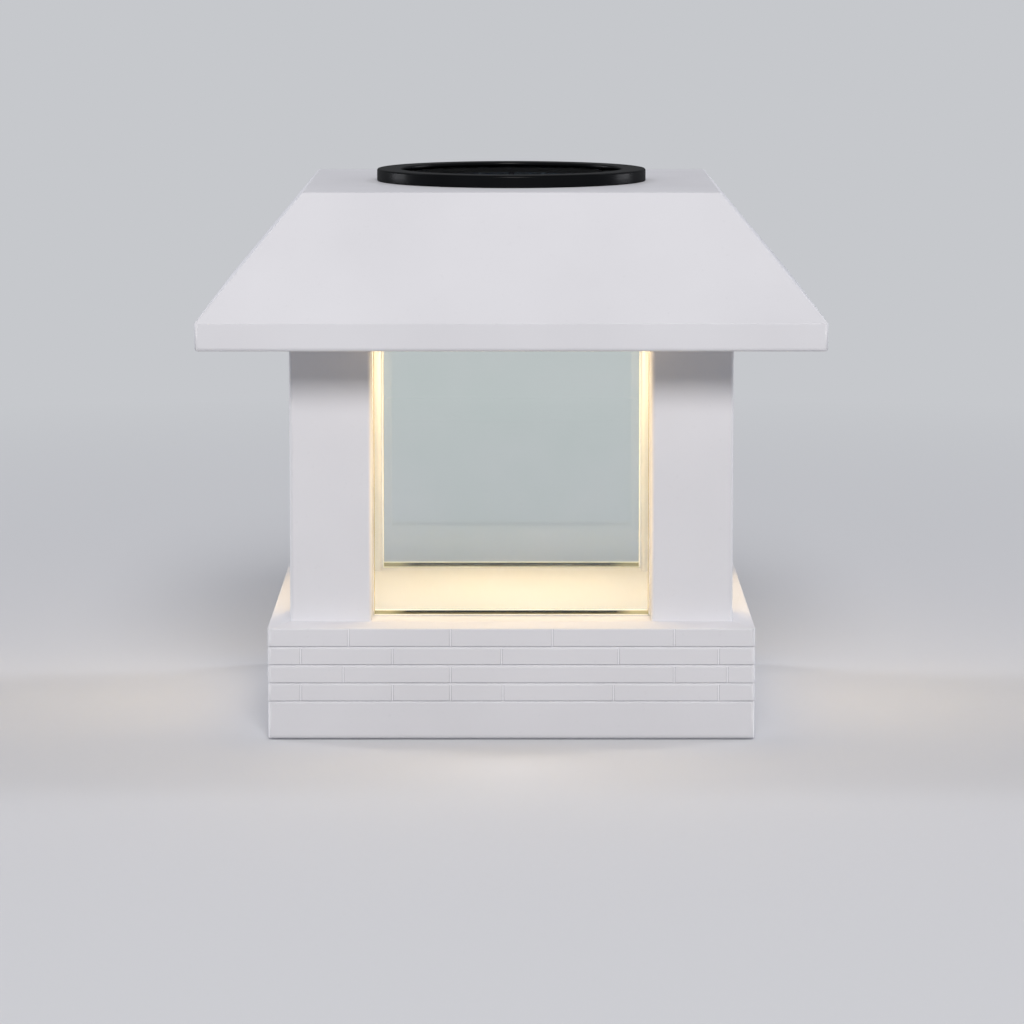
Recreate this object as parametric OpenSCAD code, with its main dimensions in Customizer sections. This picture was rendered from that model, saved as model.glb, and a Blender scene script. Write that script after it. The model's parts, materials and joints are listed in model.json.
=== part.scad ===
// Deck post cap light: a lantern that sits on a square post.
// Origin: bottom centre of the skirt. +Z is up and the front looks along -Y.

/* [Post and skirt] */
// Actual width of the square post
post_w = 139.7; // [124:0.1:150]
// Gap between the post and the skirt, each side
post_clearance = 0.4; // [0.2:0.1:1]
// Skirt wall
skirt_wall = 1.5; // [1.2:0.1:2.5]
// Height of the skirt's outer face
skirt_h = 33; // [30:0.5:60]
// Radius of the skirt's corners and bottom rim
skirt_edge_r = 1.2; // [0.4:0.1:1.3]
// Thickness of the deck over the post
deck_t = 3; // [2.4:0.1:5]
// Rise of the deck from the skirt's face to the columns
deck_rise = 1.2; // [0.4:0.1:3]
// Depth of the ribs that rest on the post
rib_drop = 3.2; // [3:0.1:8]
// Thickness of those ribs
rib_t = 1.6; // [1.2:0.1:2.5]
// Distance between ribs
rib_pitch = 18; // [14:0.5:20]
// Diameter of the pad in the middle of the ribs
stop_pad_d = 24; // [12:1:30]

/* [Brick courses] */
// Plain band under the courses
plain_band_h = 11.2; // [8:0.2:14]
// Pitch of the courses
course_h = 5.4; // [4:0.1:6]
// Height of the long grooves, whose lower half is a slope
groove_w = 0.7; // [0.4:0.1:1]
// Depth of the long grooves
groove_d = 0.45; // [0.2:0.05:0.6]
// Width of the upright joints
joint_w = 0.45; // [0.3:0.05:0.8]
// Depth of the upright joints
joint_d = 0.3; // [0.2:0.05:0.6]

/* [Fixing holes] */
// Hole for a screw into the post
fixing_hole_d = 4.5; // [3:0.1:6]
// Distance between the two holes on a side
fixing_spacing = 90; // [40:1:110]
// Height of the holes above the rim
fixing_z = 5.6; // [4:0.1:7]

/* [Columns] */
// Width of a square column
column_w = 24; // [18:0.5:26]
// Distance from the skirt's face to the column's face
column_inset = 6.45; // [4:0.05:10]
// Height from the deck to the ceiling
column_h = 83.9; // [60:0.1:140]
// Column wall
column_wall = 2.2; // [1.6:0.1:3]
// Radius of the column's edges
column_edge_r = 1.2; // [0.4:0.1:1.5]
// Diameter of the screw boss inside a column
column_boss_d = 8; // [6:0.5:9]

/* [Glass] */
// Pane thickness
pane_t = 3; // [2:0.1:5]
// Distance from the column's face to the pane
pane_setback = 13; // [8:0.5:16]
// Gap between a pane and the column beside it
pane_side_gap = 0.4; // [0.3:0.1:2]
// Depth of the slots that hold the panes
pane_slot_d = 1.2; // [0.8:0.1:1.8]
// Clearance of a pane in its slot
pane_clearance = 0.25; // [0.1:0.05:0.5]

/* [Roof] */
// Width across the eaves
eave_w = 182.4; // [176:0.1:240]
// Height of the upright eave band
eave_band_h = 8; // [6:0.5:14]
// Height of the slopes
roof_slope_h = 36; // [34:0.5:70]
// Width of the flat top
roof_top_w = 122.4; // [106:0.1:130]
// Roof wall
roof_wall = 2.4; // [1.8:0.1:3]
// Radius of the roof's edges
roof_edge_r = 1; // [0.4:0.1:1.6]
// How far the ceiling lies above the eave's lower edge
ceiling_recess = 1.5; // [0.5:0.1:3]
// Ceiling plate thickness
ceiling_t = 3; // [2.6:0.1:5]
// Gap round the ceiling plate
ceiling_clearance = 0.3; // [0.1:0.1:0.6]
// Distance from the eave's face to the roof screws
roof_screw_inset = 14.2; // [10:0.1:16]
// Diameter of the roof's screw bosses
roof_boss_d = 9; // [7:0.5:12]

/* [Light] */
// Hole that the light shines through
light_hole_d = 60; // [50:1:64]
// Width of the step that carries the diffuser
diffuser_lip = 2; // [1:0.1:3]
// Diffuser thickness
diffuser_t = 2; // [1:0.1:2]
// Gap round the diffuser
diffuser_clearance = 0.2; // [0.1:0.05:0.5]
// Width of the reflector's flange outside the hole
reflector_flange_w = 7.5; // [7:0.5:10]
// Gap between the reflector and the solar module above it
reflector_gap = 0.8; // [0.3:0.1:3]
// Upper opening of the reflector
reflector_top_d = 34; // [26:1:40]
// Reflector wall
reflector_wall = 1.2; // [1:0.1:1.6]

/* [Solar module] */
// Diameter of the black rim
bezel_d = 82; // [80:0.5:86]
// Height of the rim above the roof
bezel_h = 3.7; // [3.4:0.1:6]
// Diameter of the window inside the rim
window_d = 67.2; // [66:0.1:70]
// Depth of the cover below the rim's top
cover_recess = 0.8; // [0.3:0.1:1]
// Cover thickness
cover_t = 2; // [1:0.1:2]
// How far the ledge under the cover reaches inside the rim's spigot
ledge_reach = 1.2; // [0.6:0.1:2]
// Gap round the cover and the board under the cells
cover_clearance = 0.2; // [0.1:0.05:0.4]
// Diameter of the area covered by cells
cell_area_d = 58; // [50:0.5:60]
// Gap between neighbouring cells
cell_gap = 0.6; // [0.3:0.1:1.5]
// Cell thickness
cell_t = 0.3; // [0.2:0.05:0.5]
// Thickness of the board under the cells
backing_t = 1.2; // [0.8:0.1:1.6]
// Outside diameter of the cup
cup_d = 72; // [72:0.5:76]
// Depth of the cup below the roof's top
cup_h = 26.6; // [26:0.1:27]
// Cup wall
cup_wall = 3; // [2.8:0.1:3.2]
// Cup floor thickness
cup_floor_t = 2; // [1.6:0.1:2.4]
// Gap between the cup and its well
well_clearance = 0.5; // [0.3:0.1:0.8]
// Wall of the well
well_wall = 2.5; // [1.8:0.1:3.5]
// Depth of the well below the roof's top
well_h = 14.6; // [10:0.2:18]
// Section diameter of the sealing ring
seal_d = 2; // [1.6:0.1:2.2]
// Depth of the sealing ring below the roof's top
seal_depth = 7.6; // [4:0.1:8]

/* [Battery] */
// Diameter of the battery
battery_d = 10.5; // [10:0.1:11]
// Length of the battery
battery_len = 44.5; // [40:0.1:45]
// Clearance round the battery
bay_clearance = 0.5; // [0.3:0.05:0.6]
// Wall of the battery bay
bay_wall = 1.2; // [1:0.1:1.4]
// Distance from the module's axis to the battery
bay_offset = 15; // [14.8:0.1:15.4]
// Working length of the battery spring
spring_len = 5.1; // [4.8:0.1:5.6]
// Wire diameter of the battery spring
spring_wire_d = 0.6; // [0.4:0.05:0.6]
// Outside diameter of the battery spring
spring_d = 6.4; // [5:0.1:7]
// Thickness of the contact plates
contact_t = 0.4; // [0.3:0.05:0.6]
// Battery door thickness
door_t = 1.75; // [1.4:0.05:1.8]
// Overlap of the door over the bay's edge
door_overlap = 1.3; // [1.1:0.1:1.5]
// Running gap of the door in its rails
door_gap = 0.15; // [0.1:0.05:0.3]

/* [Electronics] */
// Width of the control board
board_w = 45; // [44:0.5:46]
// Board thickness
board_t = 1.6; // [1:0.1:1.6]
// Height of the board above the cup's floor
board_standoff = 5.6; // [5.2:0.1:5.8]
// LED diameter
led_d = 5; // [3:0.5:5]
// LED length below the board
led_len = 8.6; // [8:0.1:9]
// Distance between LEDs
led_pitch = 7; // [6:0.5:9]
// Distance that the switch slides
switch_travel = 3; // [2:0.5:4]
// Diameter of an insulated lead
lead_d = 1.2; // [0.9:0.1:1.4]

/* [Screws] */
// Diameter of the main screws
screw_d = 2.8; // [2.5:0.1:3]
// Diameter of the small screws
small_screw_d = 2; // [1.8:0.1:2.2]
// Gap between a screw and its pilot bore
pilot_gap = 0.05; // [0.02:0.01:0.1]
// Gap between a screw and its clearance hole
screw_gap = 0.3; // [0.2:0.05:0.4]

/* [Hidden] */
$fn = 64;
eps = 0.01;

// Skirt and deck levels
skirt_inner_w = post_w + 2 * post_clearance;
skirt_w = skirt_inner_w + 2 * skirt_wall;
deck_top = skirt_h + deck_rise;
deck_under = deck_top - deck_t;
post_stop_z = deck_under - rib_drop;
deck_boss_h = 0.4;

// Upright joints of each course, as shares of the face's width, lowest course first
course_joints = [
    [-0.432, -0.244, -0.125, -0.017, 0.21, 0.425],
    [-0.345, -0.125, 0.334, 0.443],
    [-0.432, -0.244, -0.02, 0.22, 0.425],
    [-0.334, -0.125, 0.084, 0.334]
];

// Columns and panes
column_span = skirt_w - 2 * column_inset;
column_axis = column_span / 2 - column_w / 2;
column_gap = column_span - 2 * column_w;
pane_w = column_gap - 2 * pane_side_gap;
pane_axis = column_span / 2 - pane_setback - pane_t / 2;
ceiling_z = deck_top + column_h;
pane_bottom = deck_top - pane_slot_d;
pane_h = ceiling_z + pane_slot_d - pane_clearance - pane_bottom;

// Roof levels and slope
eave_z = ceiling_z - ceiling_recess;
eave_top_z = eave_z + eave_band_h;
roof_top_z = eave_top_z + roof_slope_h;
ceiling_top = ceiling_z + ceiling_t;
slope_run = (eave_w - roof_top_w) / 2;
slope_len = sqrt(slope_run * slope_run + roof_slope_h * roof_slope_h);
inner_eave_half = eave_w / 2 - roof_wall;
inner_knee_z = eave_top_z - roof_wall * (slope_len - roof_slope_h) / slope_run;
inner_top_half = roof_top_w / 2 - roof_wall * (slope_len - slope_run) / roof_slope_h;
roof_screw_axis = eave_w / 2 - roof_screw_inset;

// Solar module, from the roof's top face downwards
cup_r = cup_d / 2;
cup_inner_r = cup_r - cup_wall;
cup_under = roof_top_z - cup_h;
cup_floor = cup_under + cup_floor_t;
well_r = cup_r + well_clearance;
bezel_top = roof_top_z + bezel_h;
bezel_inner_r = window_d / 2;
cover_top = bezel_top - cover_recess;
cover_under = cover_top - cover_t;
cell_under = cover_under - cell_t;
backing_under = cell_under - backing_t;
spigot_fit = 0.2;
spigot_wall = 3.2;
spigot_depth = 3.1;
spigot_r = cup_inner_r - spigot_fit;
ledge_r = spigot_r - ledge_reach;
backing_r = ledge_r - cover_clearance;
boss_inset = 5;
boss_axis = cup_inner_r - boss_inset;
boss_r = 3;
cup_screw_len = 11;

// Battery bay
bay_w = battery_d + 2 * bay_clearance;
bay_len = battery_len + spring_len + 2 * contact_t;
bay_half = bay_len / 2;
battery_lift = 0.55;
battery_z = cup_under + battery_lift + battery_d / 2;
bay_top = battery_z + battery_d / 2 + bay_clearance;
battery_nub_len = 0.9;
contact_w = 4.4;
tab_top = bay_top + bay_wall + 1.7;
tab_slot_gap = 0.15;

// Battery door and its rails
door_half_w = bay_w / 2 + door_overlap;
door_half_len = bay_half + 1.7;
door_top = cup_under - door_gap;
door_under = door_top - door_t;
rail_t = 1.2;
rail_lip = 1.1;
rail_under = door_under - door_gap - rail_t;

// Control board
board_under = cup_floor + board_standoff;
board_top = board_under + board_t;
board_gap = 0.8;
board_back = bay_offset - bay_w / 2 - bay_wall - board_gap;
board_front = -22;
pillar_r = 2.5;
pillar_side_inset = 3;
pillar_back_inset = 4.7;
pillar_x = board_w / 2 - pillar_side_inset;
pillar_back = board_back - pillar_back_inset;
pillar_front = board_front + pillar_r;
board_screw_len = 5;
part_gap = 0.05;

// Slide switch
switch_y = -16;
switch_w = 9;
switch_depth = 4;
switch_h = 3.6;
knob_w = 2.4;
knob_depth = 1.8;
knob_play = 0.15;
knob_head_w = 3;
knob_slot_d = 2;
knob_reach = 2.1;

// Points of an arc round c, from angle a0 to a1
function arc(c, r, a0, a1, n = 3) =
    [for (i = [0 : n]) let (a = a0 + (a1 - a0) * i / n) c + r * [cos(a), sin(a)]];

// An outline's right half and its mirror image, as one closed outline
function mirrored(half) =
    concat(half, [for (i = [len(half) - 1 : -1 : 0]) [-half[i][0], half[i][1]]]);

function unit(v) = v / norm(v);

// One point of a smooth curve between b and c, with a and d as its neighbours
function between(a, b, c, d, t) =
    0.5 * (2 * b + (c - a) * t + (2 * a - 5 * b + 4 * c - d) * t * t + (3 * b - a - 3 * c + d) * t * t * t);

// A smooth route through hand-chosen points, k steps from one to the next
function smooth_route(p, k) = concat(
    [for (i = [0 : len(p) - 2]) for (j = [0 : k - 1])
        between(p[max(i - 1, 0)], p[i], p[i + 1], p[min(i + 2, len(p) - 1)], j / k)],
    [p[len(p) - 1]]);

function tangents(path) =
    [for (i = [0 : len(path) - 1]) unit(path[min(i + 1, len(path) - 1)] - path[max(i - 1, 0)])];

// Ring normals carried along the route, so that the tube doesn't twist
function carried(t, n, i = 0) =
    i == len(t) ? [] : let (m = unit(n - (n * t[i]) * t[i])) concat([m], carried(t, m, i + 1));

// A tube along a route: rings of points, joined by triangles
module tube(path, r, sides, start_normal) {
    t = tangents(path);
    n = carried(t, start_normal);
    last = len(path) - 1;
    points = [for (i = [0 : last]) for (s = [0 : sides - 1])
        path[i] + r * (cos(360 * s / sides) * n[i] + sin(360 * s / sides) * cross(t[i], n[i]))];
    walls = [for (i = [0 : last - 1]) for (s = [0 : sides - 1])
        let (a = i * sides + s, b = i * sides + (s + 1) % sides)
        for (f = [[a, a + sides, b], [b, a + sides, b + sides]]) f];
    ends = [for (s = [1 : sides - 2]) for (f = [[0, s, s + 1],
        [last * sides, last * sides + s + 1, last * sides + s]]) f];
    polyhedron(points, concat(walls, ends), convexity = 4);
}

// Places its children at the four corners of a square
module corners(half) {
    for (x = [-1, 1], y = [-1, 1]) translate([x * half, y * half, 0]) children();
}

// Places its children on the four sides, each turned to face its own side
module sides() {
    for (a = [0 : 90 : 270]) rotate([0, 0, a]) children();
}

// A square with rounded corners
module round_square(w, r) {
    square([w - 2 * r, w], center = true);
    square([w, w - 2 * r], center = true);
    corners(w / 2 - r) circle(r);
}

// A square body whose four sides follow one profile
module four_sided(profile, w) {
    intersection() {
        rotate([90, 0, 0]) linear_extrude(w + 2, center = true) polygon(profile);
        rotate([90, 0, 90]) linear_extrude(w + 2, center = true) polygon(profile);
    }
}

// A square block that stands on z
module block(w, d, h, z) {
    translate([-w / 2, -d / 2, z]) cube([w, d, h]);
}

// A screw with a domed pan head: head on z = 0, shank upwards
module pan_screw(d, len) {
    head_h = 0.75 * d;
    rotate_extrude() polygon([
        [0, -head_h], [0.6 * d, -head_h], [0.9 * d, -0.7 * head_h], [d, -0.3 * head_h],
        [d, 0], [d / 2, 0], [d / 2, len - d / 2], [0.15 * d, len], [0, len]]);
}

// A screw with a countersunk head: face on z = 0, shank upwards
module flat_screw(d, len) {
    rotate_extrude() polygon([
        [0, 0], [d, 0], [d / 2, d / 2], [d / 2, len - d / 2], [0.15 * d, len], [0, len]]);
}

// The cross-shaped recess in a screw's head, opening towards -Z
module driver_recess(d, face_z) {
    for (a = [0, 90]) rotate([0, 0, a])
        translate([-0.55 * d, -0.12 * d, face_z - eps]) cube([1.1 * d, 0.24 * d, 0.35 * d]);
}

module main_screw(len) {
    difference() {
        pan_screw(screw_d, len);
        driver_recess(screw_d, -0.75 * screw_d);
    }
}

module small_screw(len) {
    difference() {
        pan_screw(small_screw_d, len);
        driver_recess(small_screw_d, -0.75 * small_screw_d);
    }
}

// ---- Skirt ----

// How far the slope of the deck ends outside the columns
deck_margin = 0.2;

// One groove: a slope that catches the light, and a square upper side in shade
function groove(z) = [[skirt_w / 2, z - groove_w / 2], [skirt_w / 2 - groove_d, z],
    [skirt_w / 2 - groove_d, z + groove_w / 2], [skirt_w / 2, z + groove_w / 2]];

skirt_profile = mirrored(concat(
    arc([skirt_w / 2 - skirt_edge_r, skirt_edge_r], skirt_edge_r, -90, 0),
    [for (c = [0 : len(course_joints) - 1]) for (p = groove(plain_band_h + c * course_h)) p],
    [[skirt_w / 2, skirt_h], [skirt_w / 2 - column_inset + deck_margin, deck_top]]));

module skirt_body() {
    intersection() {
        four_sided(skirt_profile, skirt_w);
        linear_extrude(deck_top + 1) round_square(skirt_w, skirt_edge_r);
    }
}

module brick_joints() {
    for (c = [0 : len(course_joints) - 1]) {
        low = plain_band_h + c * course_h;
        high = c == len(course_joints) - 1 ? skirt_h : low + course_h;
        for (share = course_joints[c])
            translate([share * skirt_w - joint_w / 2, -skirt_w / 2 - 1, low])
                cube([joint_w, 1 + joint_d, high - low]);
    }
}

// Slots in the deck or the ceiling for the four panes
module pane_slots(z, h) {
    sides() translate([0, pane_axis, 0])
        block(pane_w + 2 * pane_clearance, pane_t + 2 * pane_clearance, h, z);
}

module deck_ribs() {
    for (i = [-2.5 : 1 : 2.5]) {
        translate([i * rib_pitch, 0, 0]) block(rib_t, skirt_inner_w + 1, rib_drop + 1, post_stop_z);
        translate([0, i * rib_pitch, 0]) block(skirt_inner_w + 1, rib_t, rib_drop + 1, post_stop_z);
    }
    translate([0, 0, post_stop_z]) cylinder(h = rib_drop + 1, d = stop_pad_d);
    corners(column_axis) translate([0, 0, deck_under - deck_boss_h])
        cylinder(h = deck_boss_h + 1, r = screw_d + 2 * rib_t);
}

module post_skirt() {
    color("#dcdde2") difference() {
        union() {
            difference() {
                skirt_body();
                block(skirt_inner_w, skirt_inner_w, deck_under + 1, -1);
            }
            deck_ribs();
        }
        sides() brick_joints();
        pane_slots(pane_bottom, pane_slot_d + 1);
        corners(column_axis) {
            translate([0, 0, post_stop_z - 1])
                cylinder(h = rib_drop + deck_t + 2, d = screw_d + 2 * screw_gap);
            translate([0, 0, post_stop_z - 1])
                cylinder(h = rib_drop + 1 - deck_boss_h, r = screw_d + screw_gap);
        }
        for (y = [-1, 1]) translate([0, y * fixing_spacing / 2, fixing_z])
            rotate([0, 90, 0]) cylinder(h = skirt_w + 2, d = fixing_hole_d, center = true);
    }
}

// ---- Columns ----

module column_section() {
    difference() {
        round_square(column_w, column_edge_r);
        difference() {
            square(column_w - 2 * column_wall, center = true);
            circle(d = column_boss_d);
            square([column_w, rib_t], center = true);
            square([rib_t, column_w], center = true);
        }
        circle(d = screw_d + 2 * pilot_gap);
    }
}

module column(x, y) {
    color("#e4e5ea") translate([x * column_axis, y * column_axis, deck_top])
        linear_extrude(column_h) column_section();
}

module column_front_left() { column(-1, -1); }
module column_front_right() { column(1, -1); }
module column_back_left() { column(-1, 1); }
module column_back_right() { column(1, 1); }

// ---- Panes ----

module pane(angle) {
    color("#cfe0d8", 0.35) rotate([0, 0, angle]) translate([0, -pane_axis, 0])
        block(pane_w, pane_t, pane_h, pane_bottom);
}

module pane_front() { pane(0); }
module pane_right() { pane(90); }
module pane_back() { pane(180); }
module pane_left() { pane(270); }

// ---- Ceiling ----

reflector_flange_t = 1.2;
reflector_screw_r = light_hole_d / 2 + diffuser_lip + 2.6;

module reflector_screw_places() {
    for (a = [90 : 120 : 330]) rotate([0, 0, a]) translate([reflector_screw_r, 0, 0]) children();
}

module ceiling_plate() {
    color("#e8e8ea") difference() {
        block(2 * (inner_eave_half - ceiling_clearance), 2 * (inner_eave_half - ceiling_clearance),
            ceiling_t, ceiling_z);
        translate([0, 0, ceiling_z - 1]) cylinder(h = ceiling_t + 2, d = light_hole_d);
        translate([0, 0, ceiling_top - diffuser_t])
            cylinder(h = diffuser_t + 1, r = light_hole_d / 2 + diffuser_lip + diffuser_clearance);
        pane_slots(ceiling_z - 1, pane_slot_d + 1);
        reflector_screw_places() translate([0, 0, ceiling_z - 1])
            cylinder(h = ceiling_t + 2, d = small_screw_d + 2 * pilot_gap);
        corners(column_axis) translate([0, 0, ceiling_z - 1])
            cylinder(h = ceiling_t + 2, d = screw_d + 2 * screw_gap);
        corners(roof_screw_axis) {
            translate([0, 0, ceiling_z - 1]) cylinder(h = ceiling_t + 2, d = screw_d + 2 * screw_gap);
            translate([0, 0, ceiling_z - eps])
                cylinder(h = screw_d / 2 + screw_gap, r1 = screw_d + screw_gap, r2 = screw_d / 2);
        }
    }
}

module light_diffuser() {
    color("#fff2d8", 0.8) translate([0, 0, ceiling_top - diffuser_t])
        cylinder(h = diffuser_t, r = light_hole_d / 2 + diffuser_lip);
}

module light_reflector() {
    reflector_h = rail_under - reflector_gap - ceiling_top;
    base_r = light_hole_d / 2;
    neck_r = reflector_top_d / 2;
    color("#f2f2f2") translate([0, 0, ceiling_top]) difference() {
        rotate_extrude() polygon([
            [base_r, 0], [base_r + reflector_flange_w, 0],
            [base_r + reflector_flange_w, reflector_flange_t],
            [base_r + reflector_wall, reflector_flange_t],
            [neck_r + reflector_wall, reflector_h], [neck_r, reflector_h]]);
        reflector_screw_places() translate([0, 0, -1])
            cylinder(h = reflector_flange_t + 2, d = small_screw_d + 2 * screw_gap);
    }
}

// ---- Roof ----

roof_screw_len = 12;
roof_pilot_h = roof_screw_len - ceiling_t + 1;

roof_profile = mirrored(concat(
    arc([eave_w / 2 - roof_edge_r, eave_z + roof_edge_r], roof_edge_r, -90, 0),
    [[eave_w / 2, eave_top_z], [roof_top_w / 2, roof_top_z]]));

cavity_profile = mirrored([
    [inner_eave_half, eave_z - 1], [inner_eave_half, inner_knee_z],
    [inner_top_half, roof_top_z - roof_wall]]);

module roof_outside() {
    intersection() {
        four_sided(roof_profile, eave_w);
        translate([0, 0, eave_z - 1]) linear_extrude(roof_top_z - eave_z + 2)
            round_square(eave_w, roof_edge_r);
    }
}

// The bosses end inside the slope's wall, 1 mm short of its outer face
module roof_bosses() {
    intersection() {
        corners(roof_screw_axis) translate([0, 0, ceiling_top])
            cylinder(h = roof_slope_h, d = roof_boss_d);
        four_sided([for (p = roof_profile) p - [sign(p[0]), 1]], eave_w);
    }
}

module roof_shell() {
    color("#e8e8ec") difference() {
        union() {
            difference() {
                roof_outside();
                four_sided(cavity_profile, eave_w);
            }
            roof_bosses();
            translate([0, 0, roof_top_z - well_h]) cylinder(h = well_h - 1, r = well_r + well_wall);
        }
        translate([0, 0, roof_top_z - well_h - 1]) cylinder(h = well_h + 2, r = well_r);
        corners(roof_screw_axis) translate([0, 0, ceiling_top - 1])
            cylinder(h = roof_pilot_h + 1, d = screw_d + 2 * pilot_gap);
    }
}

// ---- Screws of the housing ----

column_screw_len = 14;
reflector_screw_len = 3.6;

module column_screws_lower() {
    color("#9a9ea3") corners(column_axis) translate([0, 0, deck_under - deck_boss_h])
        main_screw(column_screw_len);
}

module column_screws_upper() {
    color("#9a9ea3") corners(column_axis) translate([0, 0, ceiling_top])
        mirror([0, 0, 1]) main_screw(column_screw_len);
}

module roof_screws() {
    color("#9a9ea3") corners(roof_screw_axis) translate([0, 0, ceiling_z]) difference() {
        flat_screw(screw_d, roof_screw_len);
        driver_recess(screw_d, 0);
    }
}

module reflector_screws() {
    color("#9a9ea3") reflector_screw_places()
        translate([0, 0, ceiling_top + reflector_flange_t])
            mirror([0, 0, 1]) small_screw(reflector_screw_len);
}

// ---- Solar module: rim, cover and cells ----

module boss_places() {
    for (a = [0 : 90 : 270]) rotate([0, 0, a]) translate([boss_axis, 0, 0]) children();
}

module solar_bezel() {
    seat_r = bezel_inner_r;
    foot_r = spigot_r - spigot_wall;
    edge = 0.5;
    color("#1b1c1e") difference() {
        union() {
            rotate_extrude($fn = 96) polygon(concat(
                [[ledge_r, backing_under], [ledge_r, cover_under], [seat_r, cover_under],
                    [seat_r, bezel_top - edge / 2], [seat_r + edge / 2, bezel_top]],
                arc([bezel_d / 2 - edge, bezel_top - edge], edge, 90, 0),
                [[bezel_d / 2, roof_top_z], [spigot_r, roof_top_z],
                    [spigot_r, roof_top_z - spigot_depth],
                    [foot_r, roof_top_z - spigot_depth], [foot_r, backing_under]]));
            boss_places() translate([0, 0, cup_floor])
                cylinder(h = backing_under - cup_floor, r = boss_r);
        }
        boss_places() translate([0, 0, cup_floor - 1])
            cylinder(h = cup_screw_len + 2, d = screw_d + 2 * pilot_gap);
    }
}

module solar_cover() {
    color("#20242a", 0.5) translate([0, 0, cover_under])
        cylinder(h = cover_t, r = bezel_inner_r - cover_clearance, $fn = 96);
}

module solar_cells() {
    cell_w = (cell_area_d - cell_gap) / 2;
    color("#0d1626") intersection() {
        translate([0, 0, cell_under]) cylinder(h = cell_t, d = cell_area_d, $fn = 96);
        for (x = [-1, 1]) translate([x * (cell_w + cell_gap) / 2, 0, 0])
            block(cell_w, cell_area_d, cell_t, cell_under);
    }
}

module cell_backing() {
    color("#1f3a2c") translate([0, 0, backing_under]) cylinder(h = backing_t, r = backing_r, $fn = 96);
}

// ---- Solar module: cup ----

seal_ring_r = well_r - 0.08 - seal_d / 2;
seal_groove_r = seal_ring_r - seal_d / 2 - 0.1;

module rails() {
    for (y = [-1, 1]) translate([0, bay_offset + y * (door_half_w + door_gap + rail_t / 2), 0]) {
        block(2 * door_half_len, rail_t, cup_under - rail_under + eps, rail_under);
        translate([0, -y * rail_lip / 2, 0])
            block(2 * door_half_len, rail_t + rail_lip, rail_t, rail_under);
    }
    translate([-door_half_len - door_gap - rail_t / 2, bay_offset, 0])
        block(rail_t, 2 * (door_half_w + door_gap + rail_t), cup_under - rail_under + eps, rail_under);
}

module bay_shell() {
    translate([0, bay_offset, 0]) block(bay_len + 2 * bay_wall, bay_w + 2 * bay_wall,
        bay_top + bay_wall - cup_under, cup_under);
}

module tab_slot(x) {
    translate([x, bay_offset, 0]) block(contact_t + 2 * tab_slot_gap, contact_w + 2 * tab_slot_gap,
        bay_wall + 2, bay_top - 1);
}

module pillar_places() {
    for (x = [-pillar_x, pillar_x], y = [pillar_front, pillar_back]) translate([x, y, 0]) children();
}

module module_cup() {
    led_gap = 0.3;
    color("#202225") difference() {
        union() {
            difference() {
                translate([0, 0, cup_under]) cylinder(h = cup_h, r = cup_r, $fn = 96);
                translate([0, 0, cup_floor]) cylinder(h = cup_h, r = cup_inner_r, $fn = 96);
            }
            intersection() {
                union() {
                    bay_shell();
                    rails();
                }
                translate([0, 0, rail_under - 1]) cylinder(h = cup_h, r = cup_r - eps, $fn = 96);
            }
            pillar_places() translate([0, 0, cup_floor - eps])
                cylinder(h = board_standoff + eps, r = pillar_r);
        }
        translate([0, bay_offset, 0]) block(bay_len, bay_w, bay_top - cup_under + 1, cup_under - 1);
        tab_slot(bay_half - contact_t / 2);
        tab_slot(contact_t / 2 - bay_half);
        translate([0, 0, roof_top_z - seal_depth - seal_d / 2 - 0.1]) difference() {
            cylinder(h = seal_d + 0.2, r = cup_r + 1, $fn = 96);
            cylinder(h = seal_d + 0.2, r = seal_groove_r, $fn = 96);
        }
        pillar_places() translate([0, 0, cup_floor])
            cylinder(h = board_standoff + 1, d = small_screw_d + 2 * pilot_gap);
        boss_places() translate([0, 0, cup_under - 1])
            cylinder(h = cup_floor_t + 2, d = screw_d + 2 * screw_gap);
        for (i = [-1 : 1]) translate([i * led_pitch, 0, cup_under - 1])
            cylinder(h = cup_floor_t + 2, d = led_d + 2 * led_gap);
        translate([0, switch_y, 0]) block(knob_head_w + switch_travel + 4 * knob_play,
            knob_depth + 4 * knob_play, cup_floor_t + 2, cup_under - 1);
    }
}

module module_seal() {
    color("#111111") translate([0, 0, roof_top_z - seal_depth])
        rotate_extrude($fn = 96) translate([seal_ring_r, 0]) circle(d = seal_d, $fn = 32);
}

module cup_screws() {
    color("#9a9ea3") boss_places() translate([0, 0, cup_under]) main_screw(cup_screw_len);
}

// ---- Electronics ----

module control_board() {
    color("#2d6a45") difference() {
        translate([-board_w / 2, board_front, board_under])
            cube([board_w, board_back - board_front, board_t]);
        pillar_places() translate([0, 0, board_under - 1])
            cylinder(h = board_t + 2, d = small_screw_d + 2 * screw_gap);
    }
}

module board_screws() {
    color("#b9a36a") pillar_places() translate([0, 0, board_top])
        mirror([0, 0, 1]) small_screw(board_screw_len);
}

// Parts on the board's upper face, and where they stand
chip_w = 6;
chip_d = 5;
chip_h = 1.7;
chip_x = -9;
chip_y = -10;
capacitor_d = 5;
capacitor_h = 6;
capacitor_x = 6;
capacitor_y = -11;
coil_d = 6;
coil_h = 4;
coil_x = 13;
coil_y = -13;
resistor_w = 2.4;
resistor_d = 1.3;
resistor_h = 0.7;
resistor_pitch = 4;
resistor_y = -4;

// Driver chip, capacitor, coil and a row of resistors
module board_parts() {
    color("#3a3a3c") {
        translate([chip_x, chip_y, 0]) block(chip_w, chip_d, chip_h, board_top);
        translate([capacitor_x, capacitor_y, board_top]) cylinder(h = capacitor_h, d = capacitor_d);
        translate([coil_x, coil_y, board_top]) cylinder(h = coil_h, d = coil_d);
        for (i = [-1 : 2]) translate([i * resistor_pitch, resistor_y, 0])
            block(resistor_w, resistor_d, resistor_h, board_top);
    }
}

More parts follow.
